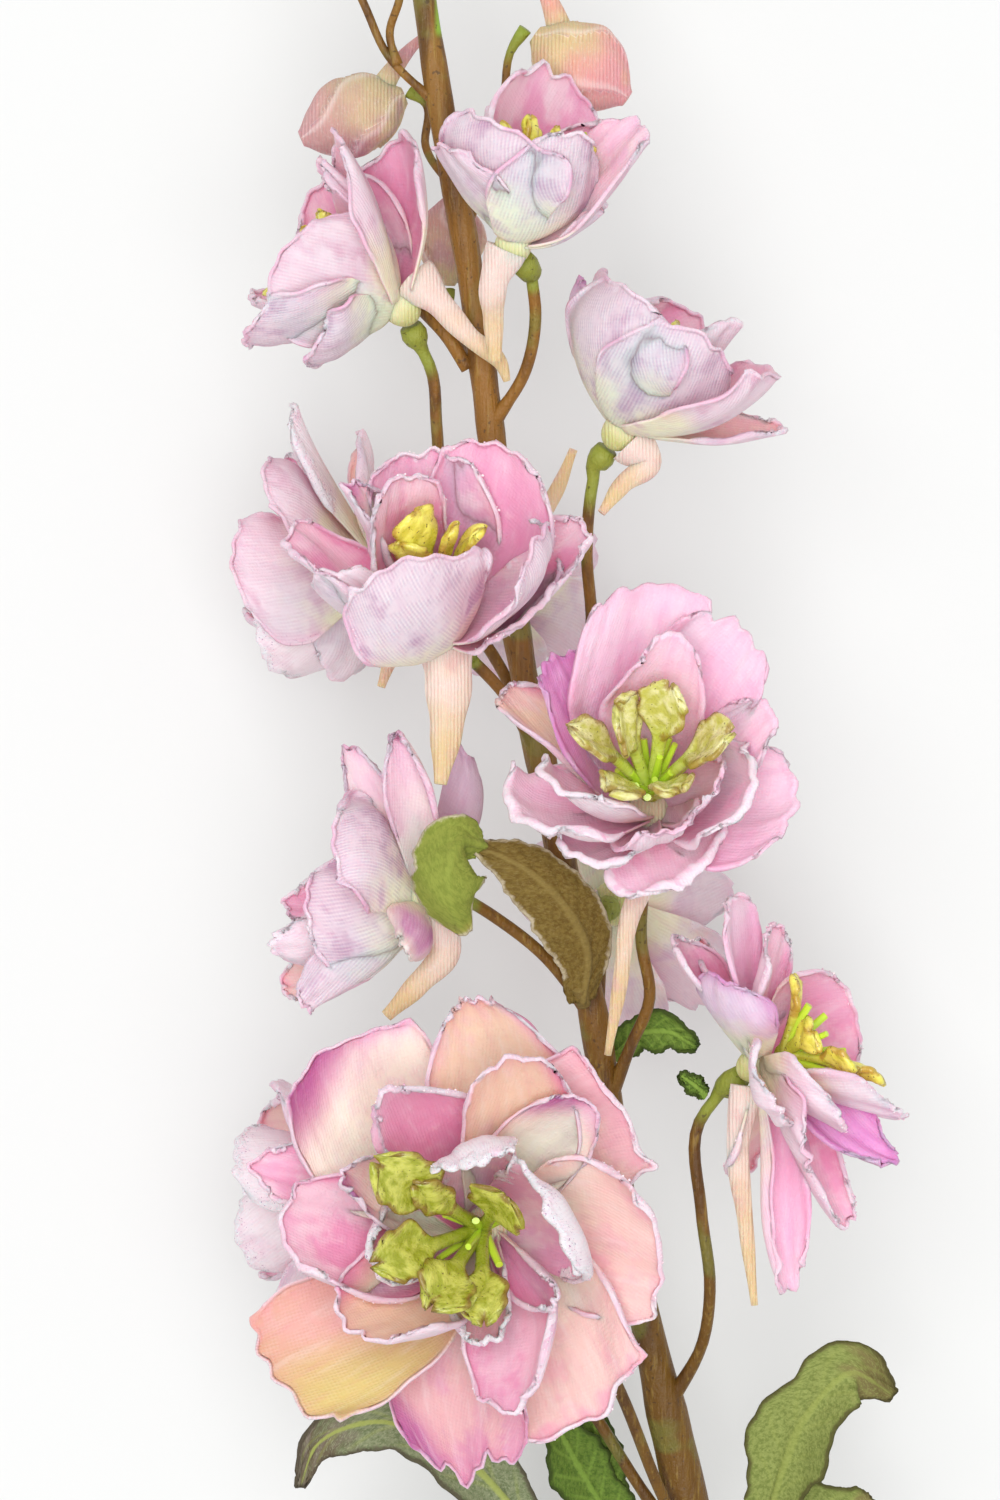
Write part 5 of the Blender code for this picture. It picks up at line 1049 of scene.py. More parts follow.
def roll_rim(grid, normal, depth, way):
    """Rolls the last millimetres of a petal over, towards its face or its back. Depth is in millimetres."""
    across, along = arc_lengths(grid, 1), arc_lengths(grid, 0)
    left, right = across / MM, (across[:, -1:] - across) / MM
    side_share = np.exp(-np.minimum(left, right) / RIM_BLEND_MM)
    tip_share = np.exp(-(along[-1:] - along) / MM / RIM_BLEND_MM)
    both = side_share + tip_share + 1e-12
    corner = 4 * side_share * tip_share / both**2
    depth = depth * (1 - CORNER_EASE * corner**2)
    gap = np.clip(-RIM_BLEND_MM * np.log(both), 0, None)
    sideways = unit(np.gradient(grid, axis=1)) * np.where(right < left, 1, -1)[..., None]
    forward = unit(np.gradient(grid, axis=0))
    outward = unit(side_share[..., None] * sideways + tip_share[..., None] * forward)
    turned = np.clip(depth - gap, 0, None)
    radius = depth / ROLL_TURN
    shift = turned - radius * np.sin(turned / radius)
    rise = radius * (1 - np.cos(turned / radius))
    return grid - outward * (shift * MM)[..., None] + normal * (way * rise * MM)[..., None]


def add_spur(skin, bloom):
    """The hooked hollow spur behind a bloom."""
    rows = smooth_path(bloom["spur"], 30)
    share = np.linspace(0, 1, len(rows))
    radii = rows[:, 3] * MM * (1 + 0.05 * np.sin(share * 19))
    skin.rod([place(row) for row in rows], radii, 16, "spur", flat=SPUR_FLATNESS, ridge=SPUR_RIDGE)


def make_bloom(name, materials, rims):
    """One open bloom: petals in layers, core and spur."""
    bloom = BLOOMS[name]
    skin = Skin()
    cell = cell_of(name)
    heart = bloom["heart"] * MM
    skin.lump(place(bloom["core"]), bloom["axis"], round_profile(heart, heart * 0.86, 0.02, 13), "heart")
    add_spur(skin, bloom)
    for index in range(len(bloom["petals"])):
        add_petal(skin, name, index, cell, rims)
    skin.piece(f"petals_{name}", materials, [f"bloom_{name}"], "petal")


def lobe_outline(chance, t):
    """One side of a stamen's head: a shoulder lobe, a pinch and a tip lobe, each of its own size."""
    shoulder = chance.uniform(0.55, 0.95)
    crown = chance.uniform(0.50, 0.95)
    at = chance.uniform(0.58, 0.66)
    return (0.56 + shoulder * 0.46 * np.exp(-((t - at) / 0.11) ** 2)
            + crown * 0.50 * np.exp(-((t - at - 0.24) / 0.13) ** 2))


def stamen_half_width(chance, width, t, s, head, close):
    """Half the width of a stamen all over it, metres: a slim stalk and a lobed head."""
    frill = wander(chance, 5)
    left = lobe_outline(chance, t)
    right = lobe_outline(chance, t)
    lobes = np.where(s < 0, left, right)
    stalk = STALK_HALF_MM * (1 - 0.25 * np.sin(math.pi * np.clip(t / 0.5, 0, 1)))
    return (stalk + (width * HEAD_WIDTH * lobes - stalk) * head * (1 + 0.025 * frill(t))) * close * MM


def add_stamen(skin, name, index, cell):
    """One moulded stamen: a slim stalk and a flat lobed head with a thick wavy edge."""
    bloom = BLOOMS[name]
    x, y, z, width = bloom["stamens"][index]
    tip = place((x, y, z))
    core, axis, radial = petal_frame(bloom, tip)
    side = np.cross(axis, radial)
    foot = core + axis * (bloom["heart"] * MM + STAMEN_FOOT) + radial * FOOT_OFFSET
    bow = (foot + tip) / 2 + axis * np.linalg.norm(tip - foot) * STAMEN_BOW
    chance = random.Random(f"{name} stamen {index}")
    t, s = even_grid(*STAMEN_GRID)
    head = soft_step(t, 0.40, 0.58)
    close = np.sqrt(np.clip(1 - (np.clip(t - 0.80, 0, None) / 0.205) ** 2.4, 0, 1))
    half = stamen_half_width(chance, width, t, s, head, close)
    notch = chance.uniform(0.02, 0.12) * (0.5 + 0.5 * np.cos(2.0 * math.pi * s + chance.uniform(-1.0, 1.0)))
    u = t * (1 - notch * soft_step(t, 0.55, 1.0))
    spine = ((1 - u) ** 2)[..., None] * foot + (2 * u * (1 - u))[..., None] * bow + (u**2)[..., None] * tip
    lift = wander(chance, 1.6)
    cupped = half * np.abs(s) ** 2 * 0.26 + head * HEAD_BEND_MM * MM * lift(s * 0.4 + t)
    normal = unit(np.cross(np.cross(side, tip - foot), side))
    upward = unit(axis - unit(tip - foot) * (axis @ unit(tip - foot)))
    grid = confine(spine + (half * s)[..., None] * side + cupped[..., None] * upward, cell)
    full = np.sqrt(np.clip(1 - np.abs(s) ** 2.4, 0, 1))
    knobs = wander(chance, 2.2)
    bulge = 1 + 0.28 * head * knobs(s * 0.5 + t * 1.2)
    thick = (STAMEN_EDGE_MM + (STAMEN_BODY_MM - 0.15 * head) * full * bulge) * np.clip(close, 0.35, 1) * MM
    if unit(np.cross(grid[3, 8] - grid[2, 8], grid[2, 9] - grid[2, 8])) @ normal < 0:
        grid = grid[:, ::-1]
    skin.sheet(grid, thick, chance.uniform(0, 1), STAMEN_FINISHES.get(name, "stamen"), root_free=0.45)


def make_stamens(name, materials, fingers):
    """The stamens of one bloom about their knob, and the roots of the tuft of fingers between them."""
    bloom = BLOOMS[name]
    skin = Skin()
    cell = cell_of(name)
    axis = unit(np.array(bloom["axis"], float))
    knob = place(bloom["core"]) + axis * (bloom["heart"] * MM + SEAT_GAP + KNOB_RISE)

    def bumpy(angle, share):
        return 1 + 0.10 * np.cos(5 * angle) * np.sin(share * math.pi)

    skin.lump(knob, axis, round_profile(KNOB_LENGTH, KNOB_RADIUS, 0.05, 11), "knob", 24, bumpy)
    for index in range(len(bloom["stamens"])):
        add_stamen(skin, name, index, cell)
    skin.piece(f"lobed_stamens_{name}", materials, [f"stamens_{name}"], "stamen")
    chance = random.Random(f"{name} fingers")
    across, other = side_axes(axis)
    count = TUFTS.get(name, SMALL_TUFT)
    for k in range(count):
        angle = k * GOLDEN_ANGLE + chance.uniform(-0.2, 0.2)
        out = math.sqrt((k + 0.5) / count) * 0.95
        spread = math.cos(angle) * across + math.sin(angle) * other
        lean = unit(axis + spread * out * chance.uniform(0.7, 1.1))
        fingers.append((knob + spread * out * 1.15 * MM + axis * 0.3 * MM, lean))


def tip_buds():
    """The buds above those in view, smaller towards the tip, turning round the stem."""
    chance = random.Random("tip buds")
    line = smooth_path(STEM_PATH, 400)
    rows = []
    for index, height in enumerate(np.linspace(*TIP_BUD_PLACES_MM, TIP_BUDS)):
        k = int(np.argmin(np.abs(line[:, 1] - height)))
        share = index / (TIP_BUDS - 1)
        turn = 0.9 + index * GOLDEN_ANGLE
        out = np.array([math.cos(turn), 0.55 + 0.5 * share, math.sin(turn)])
        out /= np.linalg.norm(out)
        stalk = LONG_TIP_STALK_MM * (1 - share) + SHORT_TIP_STALK_MM
        length = LONG_TIP_BUD_MM * (1 - share) + SHORT_TIP_BUD_MM + chance.uniform(-0.5, 0.5)
        root = line[k, :3]
        base = root + out * stalk + np.array([0, 1.5 * (1 - share), 0])
        rows.append((f"bud_tip_{index + 1:02d}", root, base, out, length, length * BUD_PLUMPNESS))
    root = line[-1, :3]
    rows.append(("bud_tip_12", root, root + np.array([0, 0.5, -0.05]), np.array([0.05, 1, -0.12]), 4.6, 1.7))
    return rows


def make_bud(name, base, axis, length, radius, spur_side, tone, materials):
    """A closed bud: sepals wrapped one over the next, pinched at the tip, with a short hooked spur."""
    axis = unit(np.array(axis, float))
    across, _ = side_axes(axis)
    chance = random.Random(name)
    dents = wander(chance, 1.6)
    turn = chance.uniform(0, 2 * math.pi)

    def wrap(angle, share):
        spiral = 4 * (angle + turn) / (2 * math.pi) + 1.1 * share
        return (spiral + 0.10 * dents(share + 0.2 * np.sin(angle))) % 1

    def sepals(angle, share):
        lap = 0.13 * (wrap(angle, share) - 0.5) * np.sin(np.clip(share, 0, 1) * math.pi) ** 0.6
        return 0.93 + lap + 0.05 * dents(share + 0.3 * np.sin(angle)) + 0.03 * np.sin(3 * angle + 4 * share)

    share = np.linspace(0, 1, 36)
    places, widths = np.array(BUD_OUTLINE).T
    wide = np.interp(share, places, widths)
    wide = np.convolve(np.pad(wide, 2, mode="edge"), np.ones(5) / 5, mode="valid")
    skin = Skin()
    skin.lump(base, axis, list(zip(share * length, wide * radius)), tone, 64, sepals, wrap)
    if spur_side:
        hook = across * spur_side * radius
        tail = [base + axis * length * along + hook * out for along, out in BUD_SPUR]
        path = smooth_path([tuple(p) for p in tail], 18)
        skin.rod(path, np.linspace(0.30, 0.09, 18) * radius, 12, tone)
    skin.piece(f"closed_{name}", materials, [name], "bud")


def make_buds(materials):
    """Every bud in its colours."""
    for name, bud in BUDS.items():
        make_bud(name, place(bud["base"]), bud["axis"], bud["length"] * MM, bud["radius"] * MM,
                 bud["spur_side"], f"bud {bud['tone']}", materials)
    for name, _, base, out, length, radius in tip_buds():
        tone = "bud mauve" if length > 13 else "bud blush" if length > 10 else "bud green"
        make_bud(name, place(base), out, length * MM, radius * MM, int(length > 6.5), tone, materials)


def lobe_surface(spine, width, lean, edge_rise, seed, t, s):
    """Middle surface of one leaf lobe, with waved and toothed edges."""
    chance = random.Random(seed)
    phase = chance.uniform(0, 2 * math.pi)
    line = np.array(placed_path(spine, 61))
    tangents = unit(np.gradient(line, axis=0))
    tilt = math.radians(lean)
    up = np.array([math.sin(tilt), 0, math.cos(tilt)])
    k = t * (len(line) - 1)
    low = np.clip(np.floor(k).astype(int), 0, len(line) - 2)
    part = (k - low)[..., None]
    centre = line[low] * (1 - part) + line[low + 1] * part
    tangent = unit(tangents[low] * (1 - part) + tangents[low + 1] * part)
    side = unit(np.cross(tangent, up))
    rise = np.cross(side, tangent)
    shape = np.sin(np.clip(t * 0.86 + 0.10, 0, 1) * math.pi) ** 0.8
    tooth = OPEN_LEAF_TOOTH if edge_rise > 0 else CURLED_LEAF_TOOTH
    teeth = 1 - tooth * (0.5 + 0.5 * np.cos(2 * math.pi * LEAF_TEETH * t + phase))
    half = width * MM / 2 * shape * teeth
    fold = half * (edge_rise * np.abs(s) ** 1.5 + LEAF_WAVE * np.abs(s) * np.sin(5.0 * t + phase + 2 * s))
    return centre + (half * s)[..., None] * side + fold[..., None] * rise, rise


def make_leaf(name, leaf, materials):
    """One leaf: toothed lobes with sunk veins and a raised midrib, on a stalk."""
    skin = Skin()
    look = LEAF_LOOKS[name]
    stalk = smooth_path(leaf["petiole"], 22)
    skin.rod([place(row) for row in stalk], stalk[:, 3] * MM, 14, look, flat=0.85)
    for index, (spine, width, lean, edge_rise) in enumerate(leaf["lobes"]):
        seed = f"{name} lobe {index}"
        chance = random.Random(seed + " edge")
        tooth = wander(chance, 7)
        crumple = wander(chance, 2.5)
        t, s = even_grid(*LEAF_GRID)
        spread = s * (1 + soft_step(np.abs(s), 0.4, 1) * 0.06 * tooth(t + 0.5 * (s > 0)))
        grid, rise = lobe_surface(spine, width, lean, edge_rise, seed, t, spread)
        vein = np.abs(((t * LEAF_VEINS - VEIN_SLANT * np.abs(s)) % 1) - 0.5) * 2
        off_rib = soft_step(np.abs(s), 0.05, 0.25) * (1 - np.abs(s) ** 4)
        sunk = -VEIN_DEPTH_MM * (1 - soft_step(vein, 0.0, 0.35)) * off_rib
        rib = MIDRIB_RISE_MM * np.exp(-(s / 0.11) ** 2) * (1 - t)
        bumps = (LEAF_CRUMPLE_MM * crumple(t * 1.3 + s * 0.4) + LEAF_CURL_MM * tooth(s + t * 2)) * np.abs(s)
        grid = grid + rise * ((sunk + rib + bumps) * MM)[..., None]
        thick = LEAF_THICK + MIDRIB_THICK * np.exp(-(s / 0.10) ** 2) * (1 - 0.8 * t)
        paint = LOBE_LOOKS.get((name, index), look)
        skin.sheet(grid, thick, chance.uniform(0, 1), paint, root_free=0.12)
    skin.piece(f"toothed_{name}", materials, [name], "leaf")


def add_main_stem(skin):
    """The main stem, swollen at its joints."""
    rows = smooth_path(STEM_PATH, 260)
    swell = np.ones(len(rows))
    joints = [item["pedicel"][-1][1] for item in (*BLOOMS.values(), *BUDS.values())]
    for y in joints + LEAF_JOINTS_MM:
        swell += JOINT_SWELL * np.exp(-((rows[:, 1] - y) / JOINT_LENGTH_MM) ** 2)
    knobs = wander(random.Random("stem"), 14)
    radii = rows[:, 3] * MM * np.clip(swell, 1, 1.14) * (1 + 0.02 * knobs(np.linspace(0, 1, len(rows))))
    radii[:2] = rows[:2, 3] * MM
    skin.rod([place(row) for row in rows], radii, 24, "stem")


def add_bloom_stalk(skin, bloom):
    """The stalk of one bloom with its swollen green seat."""
    core = place(bloom["core"])
    end = place(bloom["pedicel"][0])
    toward = unit(core - end)
    reach = np.linalg.norm(core - end) - bloom["heart"] * MM - SEAT_GAP
    path = placed_path(bloom["pedicel"], 26)
    tip = [end + toward * reach, end + toward * reach * 0.5, end + toward * 0.2 * MM, end - toward * 0.8 * MM]
    wide = [SEAT_RADIUS * 0.90, SEAT_RADIUS * 1.06, SEAT_RADIUS * 0.92, PEDICEL_RADIUS * 1.25]
    slim = np.full(len(path) - 1, PEDICEL_RADIUS)
    slim[-6:] *= np.linspace(1, 1.45, 6)
    marks = [1, 1, 1, 0.8] + list(1 - soft_step(np.arange(len(slim)), 0, 3.5))
    skin.rod(tip + path[1:], np.concatenate([wide, slim]), 14, "stem", seat=marks)


def add_bud_stalk(skin, bud):
    """The stalk of one bud in view."""
    path = placed_path(bud["pedicel"], 24)
    slim = np.full(len(path), BUD_STALK_RADIUS)
    slim[:3] = [1.0 * MM, 0.9 * MM, 0.72 * MM]
    slim[-5:] *= np.linspace(1, 1.5, 5)
    marks = list(1 - soft_step(np.arange(len(slim)), 1, 7))
    skin.rod(path, slim, 12, "stem", seat=marks)


def add_tip_stalk(skin, root, base, out):
    """The stalk of one bud near the tip."""
    end = place(base - out * 0.35)
    middle = (place(root) + end) / 2 + np.array([0, -0.6 * MM, 0])
    path = smooth_path([tuple(place(root)), tuple(middle), tuple(end)], 14)
    skin.rod(path, np.linspace(0.62, 0.5, 14) * MM, 10, "stem", seat=np.linspace(0, 1, 14) ** 3)


def make_stem(materials):
    """The main stem, every stalk, and the stub of one that broke off."""
    skin = Skin()
    add_main_stem(skin)
    for bloom in BLOOMS.values():
        add_bloom_stalk(skin, bloom)
    for bud in BUDS.values():
        add_bud_stalk(skin, bud)
    for _, root, base, out, _, _ in tip_buds():
        if np.linalg.norm(base - root) > 1.5:
            add_tip_stalk(skin, root, base, out)
    skin.rod(placed_path(STUB_PATH, 12), np.full(12, 1.0 * MM), 12, "stem")
    skin.piece("moulded_stem", materials, ["stem"], "stem")


# Finishes


class Value:
    """A number, colour or vector on its way through a material's nodes."""

    def __init__(self, recipe, socket):
        self.recipe = recipe
        self.socket = socket

    def __add__(self, other):
        return self.recipe.sum("ADD", self, other)

    def __radd__(self, other):
        return self.recipe.sum("ADD", other, self)

    def __sub__(self, other):
        return self.recipe.sum("SUBTRACT", self, other)

    def __rsub__(self, other):
        return self.recipe.sum("SUBTRACT", other, self)

    def __mul__(self, other):
        return self.recipe.sum("MULTIPLY", self, other)

    def __rmul__(self, other):
        return self.recipe.sum("MULTIPLY", other, self)

    def __pow__(self, other):
        return self.recipe.sum("POWER", self, other)


class Recipe:
    """One material, the nodes that make it and the surface's colour so far."""

    def __init__(self, name, roughness=0.8, constants=None):
        self.material = bpy.data.materials.new(name)
        self.material.use_nodes = True
        self.tree = self.material.node_tree
        self.shader = self.tree.nodes["Principled BSDF"]
        self.shader.inputs["Roughness"].default_value = roughness
        for title, value in (constants or {}).items():
            self.shader.inputs[title].default_value = value
        self.colour = None
        self.cloth = None

    def read_surface(self):
        """The pattern values that a mesh carries: cloth in millimetres, and t, s and rim."""
        self.cloth = self.attribute("cloth", "Vector")
        return self.parts(self.attribute("where", "Vector"))

    def node(self, kind, settings, values, output=0):
        """A node with its settings made first and then its sockets' values or links."""
        made = self.tree.nodes.new(kind)
        for title, value in settings.items():
            setattr(made, title, value)
        for key, value in values.items():
            socket = made.inputs[key]
            if isinstance(value, str):
                value = tint(value)
            if isinstance(value, Value):
                self.tree.links.new(value.socket, socket)
            elif isinstance(value, tuple) and len(value) == 3 and socket.type == "RGBA":
                socket.default_value = (*value, 1)
            else:
                socket.default_value = value
        return Value(self, made.outputs[output])

    def sum(self, operation, *values):
        """The result of a sum on numbers, by the name of its operation."""
        return self.node("ShaderNodeMath", {"operation": operation}, dict(enumerate(values)))

    def mix(self, share, first, second):
        """A colour between two, by share. A plain colour is a six-digit code."""
        return self.node("ShaderNodeMix", {"data_type": "RGBA"}, {0: share, 6: first, 7: second}, 2)

    def lay(self, share, colour):
        """Lays a colour over the surface, by share."""
        self.colour = self.mix(share, self.colour, colour)

    def step(self, value, low, high):
        """0 below low, 1 above high, smooth between."""
        settings = {"interpolation_type": "SMOOTHSTEP"}
        return self.node("ShaderNodeMapRange", settings, {0: value, 1: low, 2: high})

    def noise(self, scale, detail=2.0, rough=0.5, stretch=1.0):
        """Soft random patches over the cloth, drawn out along the piece where stretch is below 1."""
        where = self.cloth
        if stretch != 1:
            settings = {"operation": "MULTIPLY"}
            where = self.node("ShaderNodeVectorMath", settings, {0: where, 1: (1, stretch, 1)})
        values = {"Vector": where, "Scale": scale, "Detail": detail, "Roughness": rough}
        return self.node("ShaderNodeTexNoise", {}, values)

    def attribute(self, title, output):
        """A value that the mesh carries."""
        return self.node("ShaderNodeAttribute", {"attribute_name": title}, {}, output)

    def parts(self, vector):
        """The three numbers of a vector."""
        made = self.tree.nodes.new("ShaderNodeSeparateXYZ")
        self.tree.links.new(vector.socket, made.inputs[0])
        return [Value(self, made.outputs[k]) for k in range(3)]

    def finish(self, height, distance, roughness=None):
        """Links the surface's colour, relief and roughness to its shader."""
        self.tree.links.new(self.colour.socket, self.shader.inputs["Base Color"])
        relief = self.node("ShaderNodeBump", {}, {"Strength": 1.0, "Distance": distance, "Height": height})
        self.tree.links.new(relief.socket, self.shader.inputs["Normal"])
        if roughness is not None:
            self.tree.links.new(roughness.socket, self.shader.inputs["Roughness"])
        return self.material


def petal_dye(recipe, look, t, s, inside, broad, patchy, fine):
    """The dyed colours of a petal's face and back, with its wash, its stain and its mark."""
    drift = (broad - 0.5) * 0.6
    low = recipe.step(t + drift, 0.16, 0.62)
    high = recipe.step(t + drift * 0.8, 0.60, 1.05)
    recipe.colour = recipe.mix(high, recipe.mix(low, look["root"], look["middle"]), look["tip"])
    pool = recipe.noise(0.11, 2, stretch=0.6) + (patchy - 0.5) * 0.25
    wash, wash_share = look["wash"]
    recipe.lay(recipe.step(pool, 0.47, 0.62) * wash_share, wash)
    back = recipe.mix(recipe.step(t + drift, 0.10, 0.55), look["back_root"], look["back"])
    shade = recipe.step(broad + (patchy - 0.5) * 0.25, 0.50, 0.74) * look["smudge"]
    back = recipe.mix(shade, back, look["back_stain"])
    mark_t, mark_s, mark_size = look["mark_at"]
    mark, mark_share = look["mark"]
    away = ((t - mark_t) * 1.2) ** 2.0 + ((s - mark_s) * 0.75) ** 2.0 + drift * 0.20 + (fine - 0.5) * 0.05
    stain = 1 - recipe.step(away, mark_size * 0.10, mark_size)
    recipe.lay(stain * mark_share, mark)
    back = recipe.mix(stain * mark_share * look["both_sides"], back, mark)
    recipe.colour = recipe.mix(inside, back, recipe.colour)
    veins = recipe.noise(0.7, 2, stretch=0.16)
    recipe.lay(recipe.step(veins, 0.50, 0.80) * 0.16, look["edge"])
    recipe.lay(recipe.step(veins, 0.50, 0.25) * 0.16, "FBEFF0")
    return drift


def petal_weave(recipe, look, inside, broad, patchy):
    """The cloth's fine ribs and cross threads, worn smooth in patches."""
    x, y, _ = recipe.parts(recipe.cloth)
    pitch = 2 * math.pi / RIB_PITCH_MM
    thread = recipe.sum("SINE", (x * 0.96 + y * 0.28) * pitch + broad * 7 + patchy * 2)
    cross = recipe.sum("SINE", (y * 0.96 - x * 0.28) * (pitch / 1.1) + patchy * 3)
    worn = recipe.step(patchy, 0.28, 0.58) * (0.45 + 0.55 * look["ribs"])
    outer = 1 - inside * 0.6
    weave = (thread * (0.30 + 0.20 * outer) + cross * (0.30 - 0.18 * outer) + 0.5) * worn
    recipe.lay((1 - weave) * worn * outer * 0.34 * look["ribs"], look["rib_shade"])
    recipe.lay(weave * outer * 0.22 * look["ribs"], "FFF8F6")
    return weave


def petal_edge(recipe, look, rim, drift, patchy, fine):
    """The dyed line along a petal's rim, partly painted shade under the rolled rim, and the frosted crust
    with its specks over it.
    """
    # Partly dye, partly painted shade: a deeper pink ring along the rim and a narrow line right at it, which
    # also stand for the shadow under the rolled rim
    recipe.lay((1 - recipe.step(rim + drift * 3, 0.2, 3.0)) * look["dye_and_rim_shade"], look["edge"])
    recipe.lay((1 - recipe.step(rim + (patchy - 0.5) * 1.6, 0.05, 0.60)) * look["dye_and_rim_shade"] * 0.9, look["edge"])
    width = look["frost_width"]
    ragged = rim + (patchy - 0.5) * 3.0 * width + (fine - 0.5) * 1.2 * look["specks"]
    lain = 1 - look["patches"] * (1 - recipe.step(recipe.noise(0.16, 2), 0.47, 0.60))
    crust = (1 - recipe.step(ragged, width * 0.55, width * 1.05)) * lain * look["frost"]
    recipe.lay(crust, recipe.mix(fine, look["crust"], "EBD5E0"))
    specks = recipe.step(recipe.noise(3.6, 1), 0.67, 0.71) * (1 - recipe.step(rim, width, width + 2.0)) * 0.7
    recipe.lay(specks * lain * look["specks"], look["speck"])
    return crust


def petal_material(tone, look):
    """Dyed woven cloth with fine ribs, a dyed edge that is partly painted shade under the rolled rim, and a
    frosted crust on it.
    """
    recipe = Recipe(f"petal {tone}", 0.86, CLOTH)
    t, s, rim = recipe.read_surface()
    inside = recipe.attribute("side", "Fac")
    broad = recipe.noise(0.17, 3)
    patchy = recipe.noise(0.55, 3)
    fine = recipe.noise(2.1, 3, 0.6)
    drift = petal_dye(recipe, look, t, s, inside, broad, patchy, fine)
    weave = petal_weave(recipe, look, inside, broad, patchy)
    crust = petal_edge(recipe, look, rim, drift, patchy, fine)
    height = weave * 0.22 + fine * 0.30 + crust * fine * 1.4 * look["specks"] + patchy * 0.5
    return recipe.finish(height, CLOTH_RELIEF)


def plain_cloth_material(name, near, far, stain):
    """Cloth with no edge of its own, for spurs and buds: a colour run along it, stains, and folded edges
    drawn with a line of painted shade and a pale band beside it.
    """
    recipe = Recipe(name, 0.84, CLOTH)
    t, wrap, _ = recipe.read_surface()
    x, _, _ = recipe.parts(recipe.cloth)
    broad = recipe.noise(0.15, 2)
    middle = recipe.noise(0.5, 3)
    fine = recipe.noise(2.2, 3, 0.6)
    recipe.colour = recipe.mix(recipe.step(t + (broad - 0.5) * 0.9, 0.15, 0.85), near, far)
    recipe.lay(recipe.step(broad + (middle - 0.5) * 0.3, 0.50, 0.70) * 0.6, stain)
    # Painted shade: a dark line where one sepal laps over the next, with a pale band just before it
    recipe.lay(recipe.step(wrap, 0.90, 0.99) * 0.5, PAINTED_FOLD_SHADE_AND_THREAD)
    recipe.lay(recipe.step(wrap, 0.72, 0.88) * (1 - recipe.step(wrap, 0.88, 0.94)) * 0.35, "FBF0EE")
    recipe.lay(recipe.step(fine, 0.52, 0.70) * 0.16, "FFFAF5")
    thread = recipe.sum("SINE", x * (2 * math.pi / RIB_PITCH_MM) + broad * 7)
    # Thread lines of the weave, in the same colour as the painted fold shade
    recipe.lay((1 - thread) * 0.06, PAINTED_FOLD_SHADE_AND_THREAD)
    return recipe.finish(middle * 0.8 + fine * 0.5 + thread * 0.2, PLAIN_CLOTH_RELIEF)


def stamen_material(name, light, deep, burnt, core="A9B832"):
    """Glossy moulded plastic, olive to yellow, burnt brown at its edges, with dark specks."""
    recipe = Recipe(name, 0.3, GLOSSY_PLASTIC)
    t, _, rim = recipe.read_surface()
    broad = recipe.noise(0.42, 3)
    middle = recipe.noise(0.6, 2)
    fine = recipe.noise(2.4, 3, 0.6)
    recipe.colour = recipe.mix(recipe.step(middle, 0.34, 0.66), deep, light)
    recipe.lay((1 - recipe.step(t, 0.30, 0.62)) * 0.7, core)
    ragged = rim + (broad - 0.5) * 3.4 + (fine - 0.5) * 0.8
    recipe.lay((1 - recipe.step(ragged, 0.0, 0.95)) * 0.75, burnt)
    recipe.lay(recipe.step(recipe.noise(2.3, 1), 0.70, 0.73) * 0.8, "4A3018")
    return recipe.finish(middle * 0.5 + fine * 0.3, PLASTIC_RELIEF, fine * 0.3 + 0.15)


def stem_material():
    """Moulded plastic: olive brown, redder higher up, golden streaks, green at the seats and in spots."""
    recipe = Recipe("stem", 0.5, SMOOTH_PLASTIC)
    _, seat, _ = recipe.read_surface()
    x, y, _ = recipe.parts(recipe.cloth)
    broad = recipe.noise(0.35, 3, stretch=0.16)
    streak = recipe.noise(1.6, 3, 0.6, stretch=0.07)
    fine = recipe.noise(1.6, 3, 0.6)
    recipe.colour = recipe.mix(recipe.step(y, -70.0, 60.0), "6E4C12", "8C6024")
    recipe.lay(recipe.step(y, 60.0, 100.0), "8C642A")
    recipe.lay(recipe.step(broad, 0.42, 0.66) * 0.7, "4C2E12")
    recipe.lay(recipe.step(streak, 0.52, 0.72) * 0.5, "A28640")
    recipe.lay(recipe.step(recipe.noise(0.11, 2), 0.58, 0.68) * 0.45, "73803A")
    spot = recipe.step(y, 113.5, 115.0) * (1 - recipe.step(y, 119.5, 122.0)) * recipe.step(x, -21.6, -20.8)
    recipe.lay(spot * 0.9, "8CB63A")
    recipe.lay(recipe.step(seat, 0.2, 0.9) * 0.85, "8E9A3A")
    recipe.lay(recipe.step(recipe.noise(1.3, 1), 0.68, 0.72) * 0.6, "3E2A1C")
    return recipe.finish(streak * 0.7 + fine * 0.5, PLASTIC_RELIEF, fine * 0.35 + 0.28)


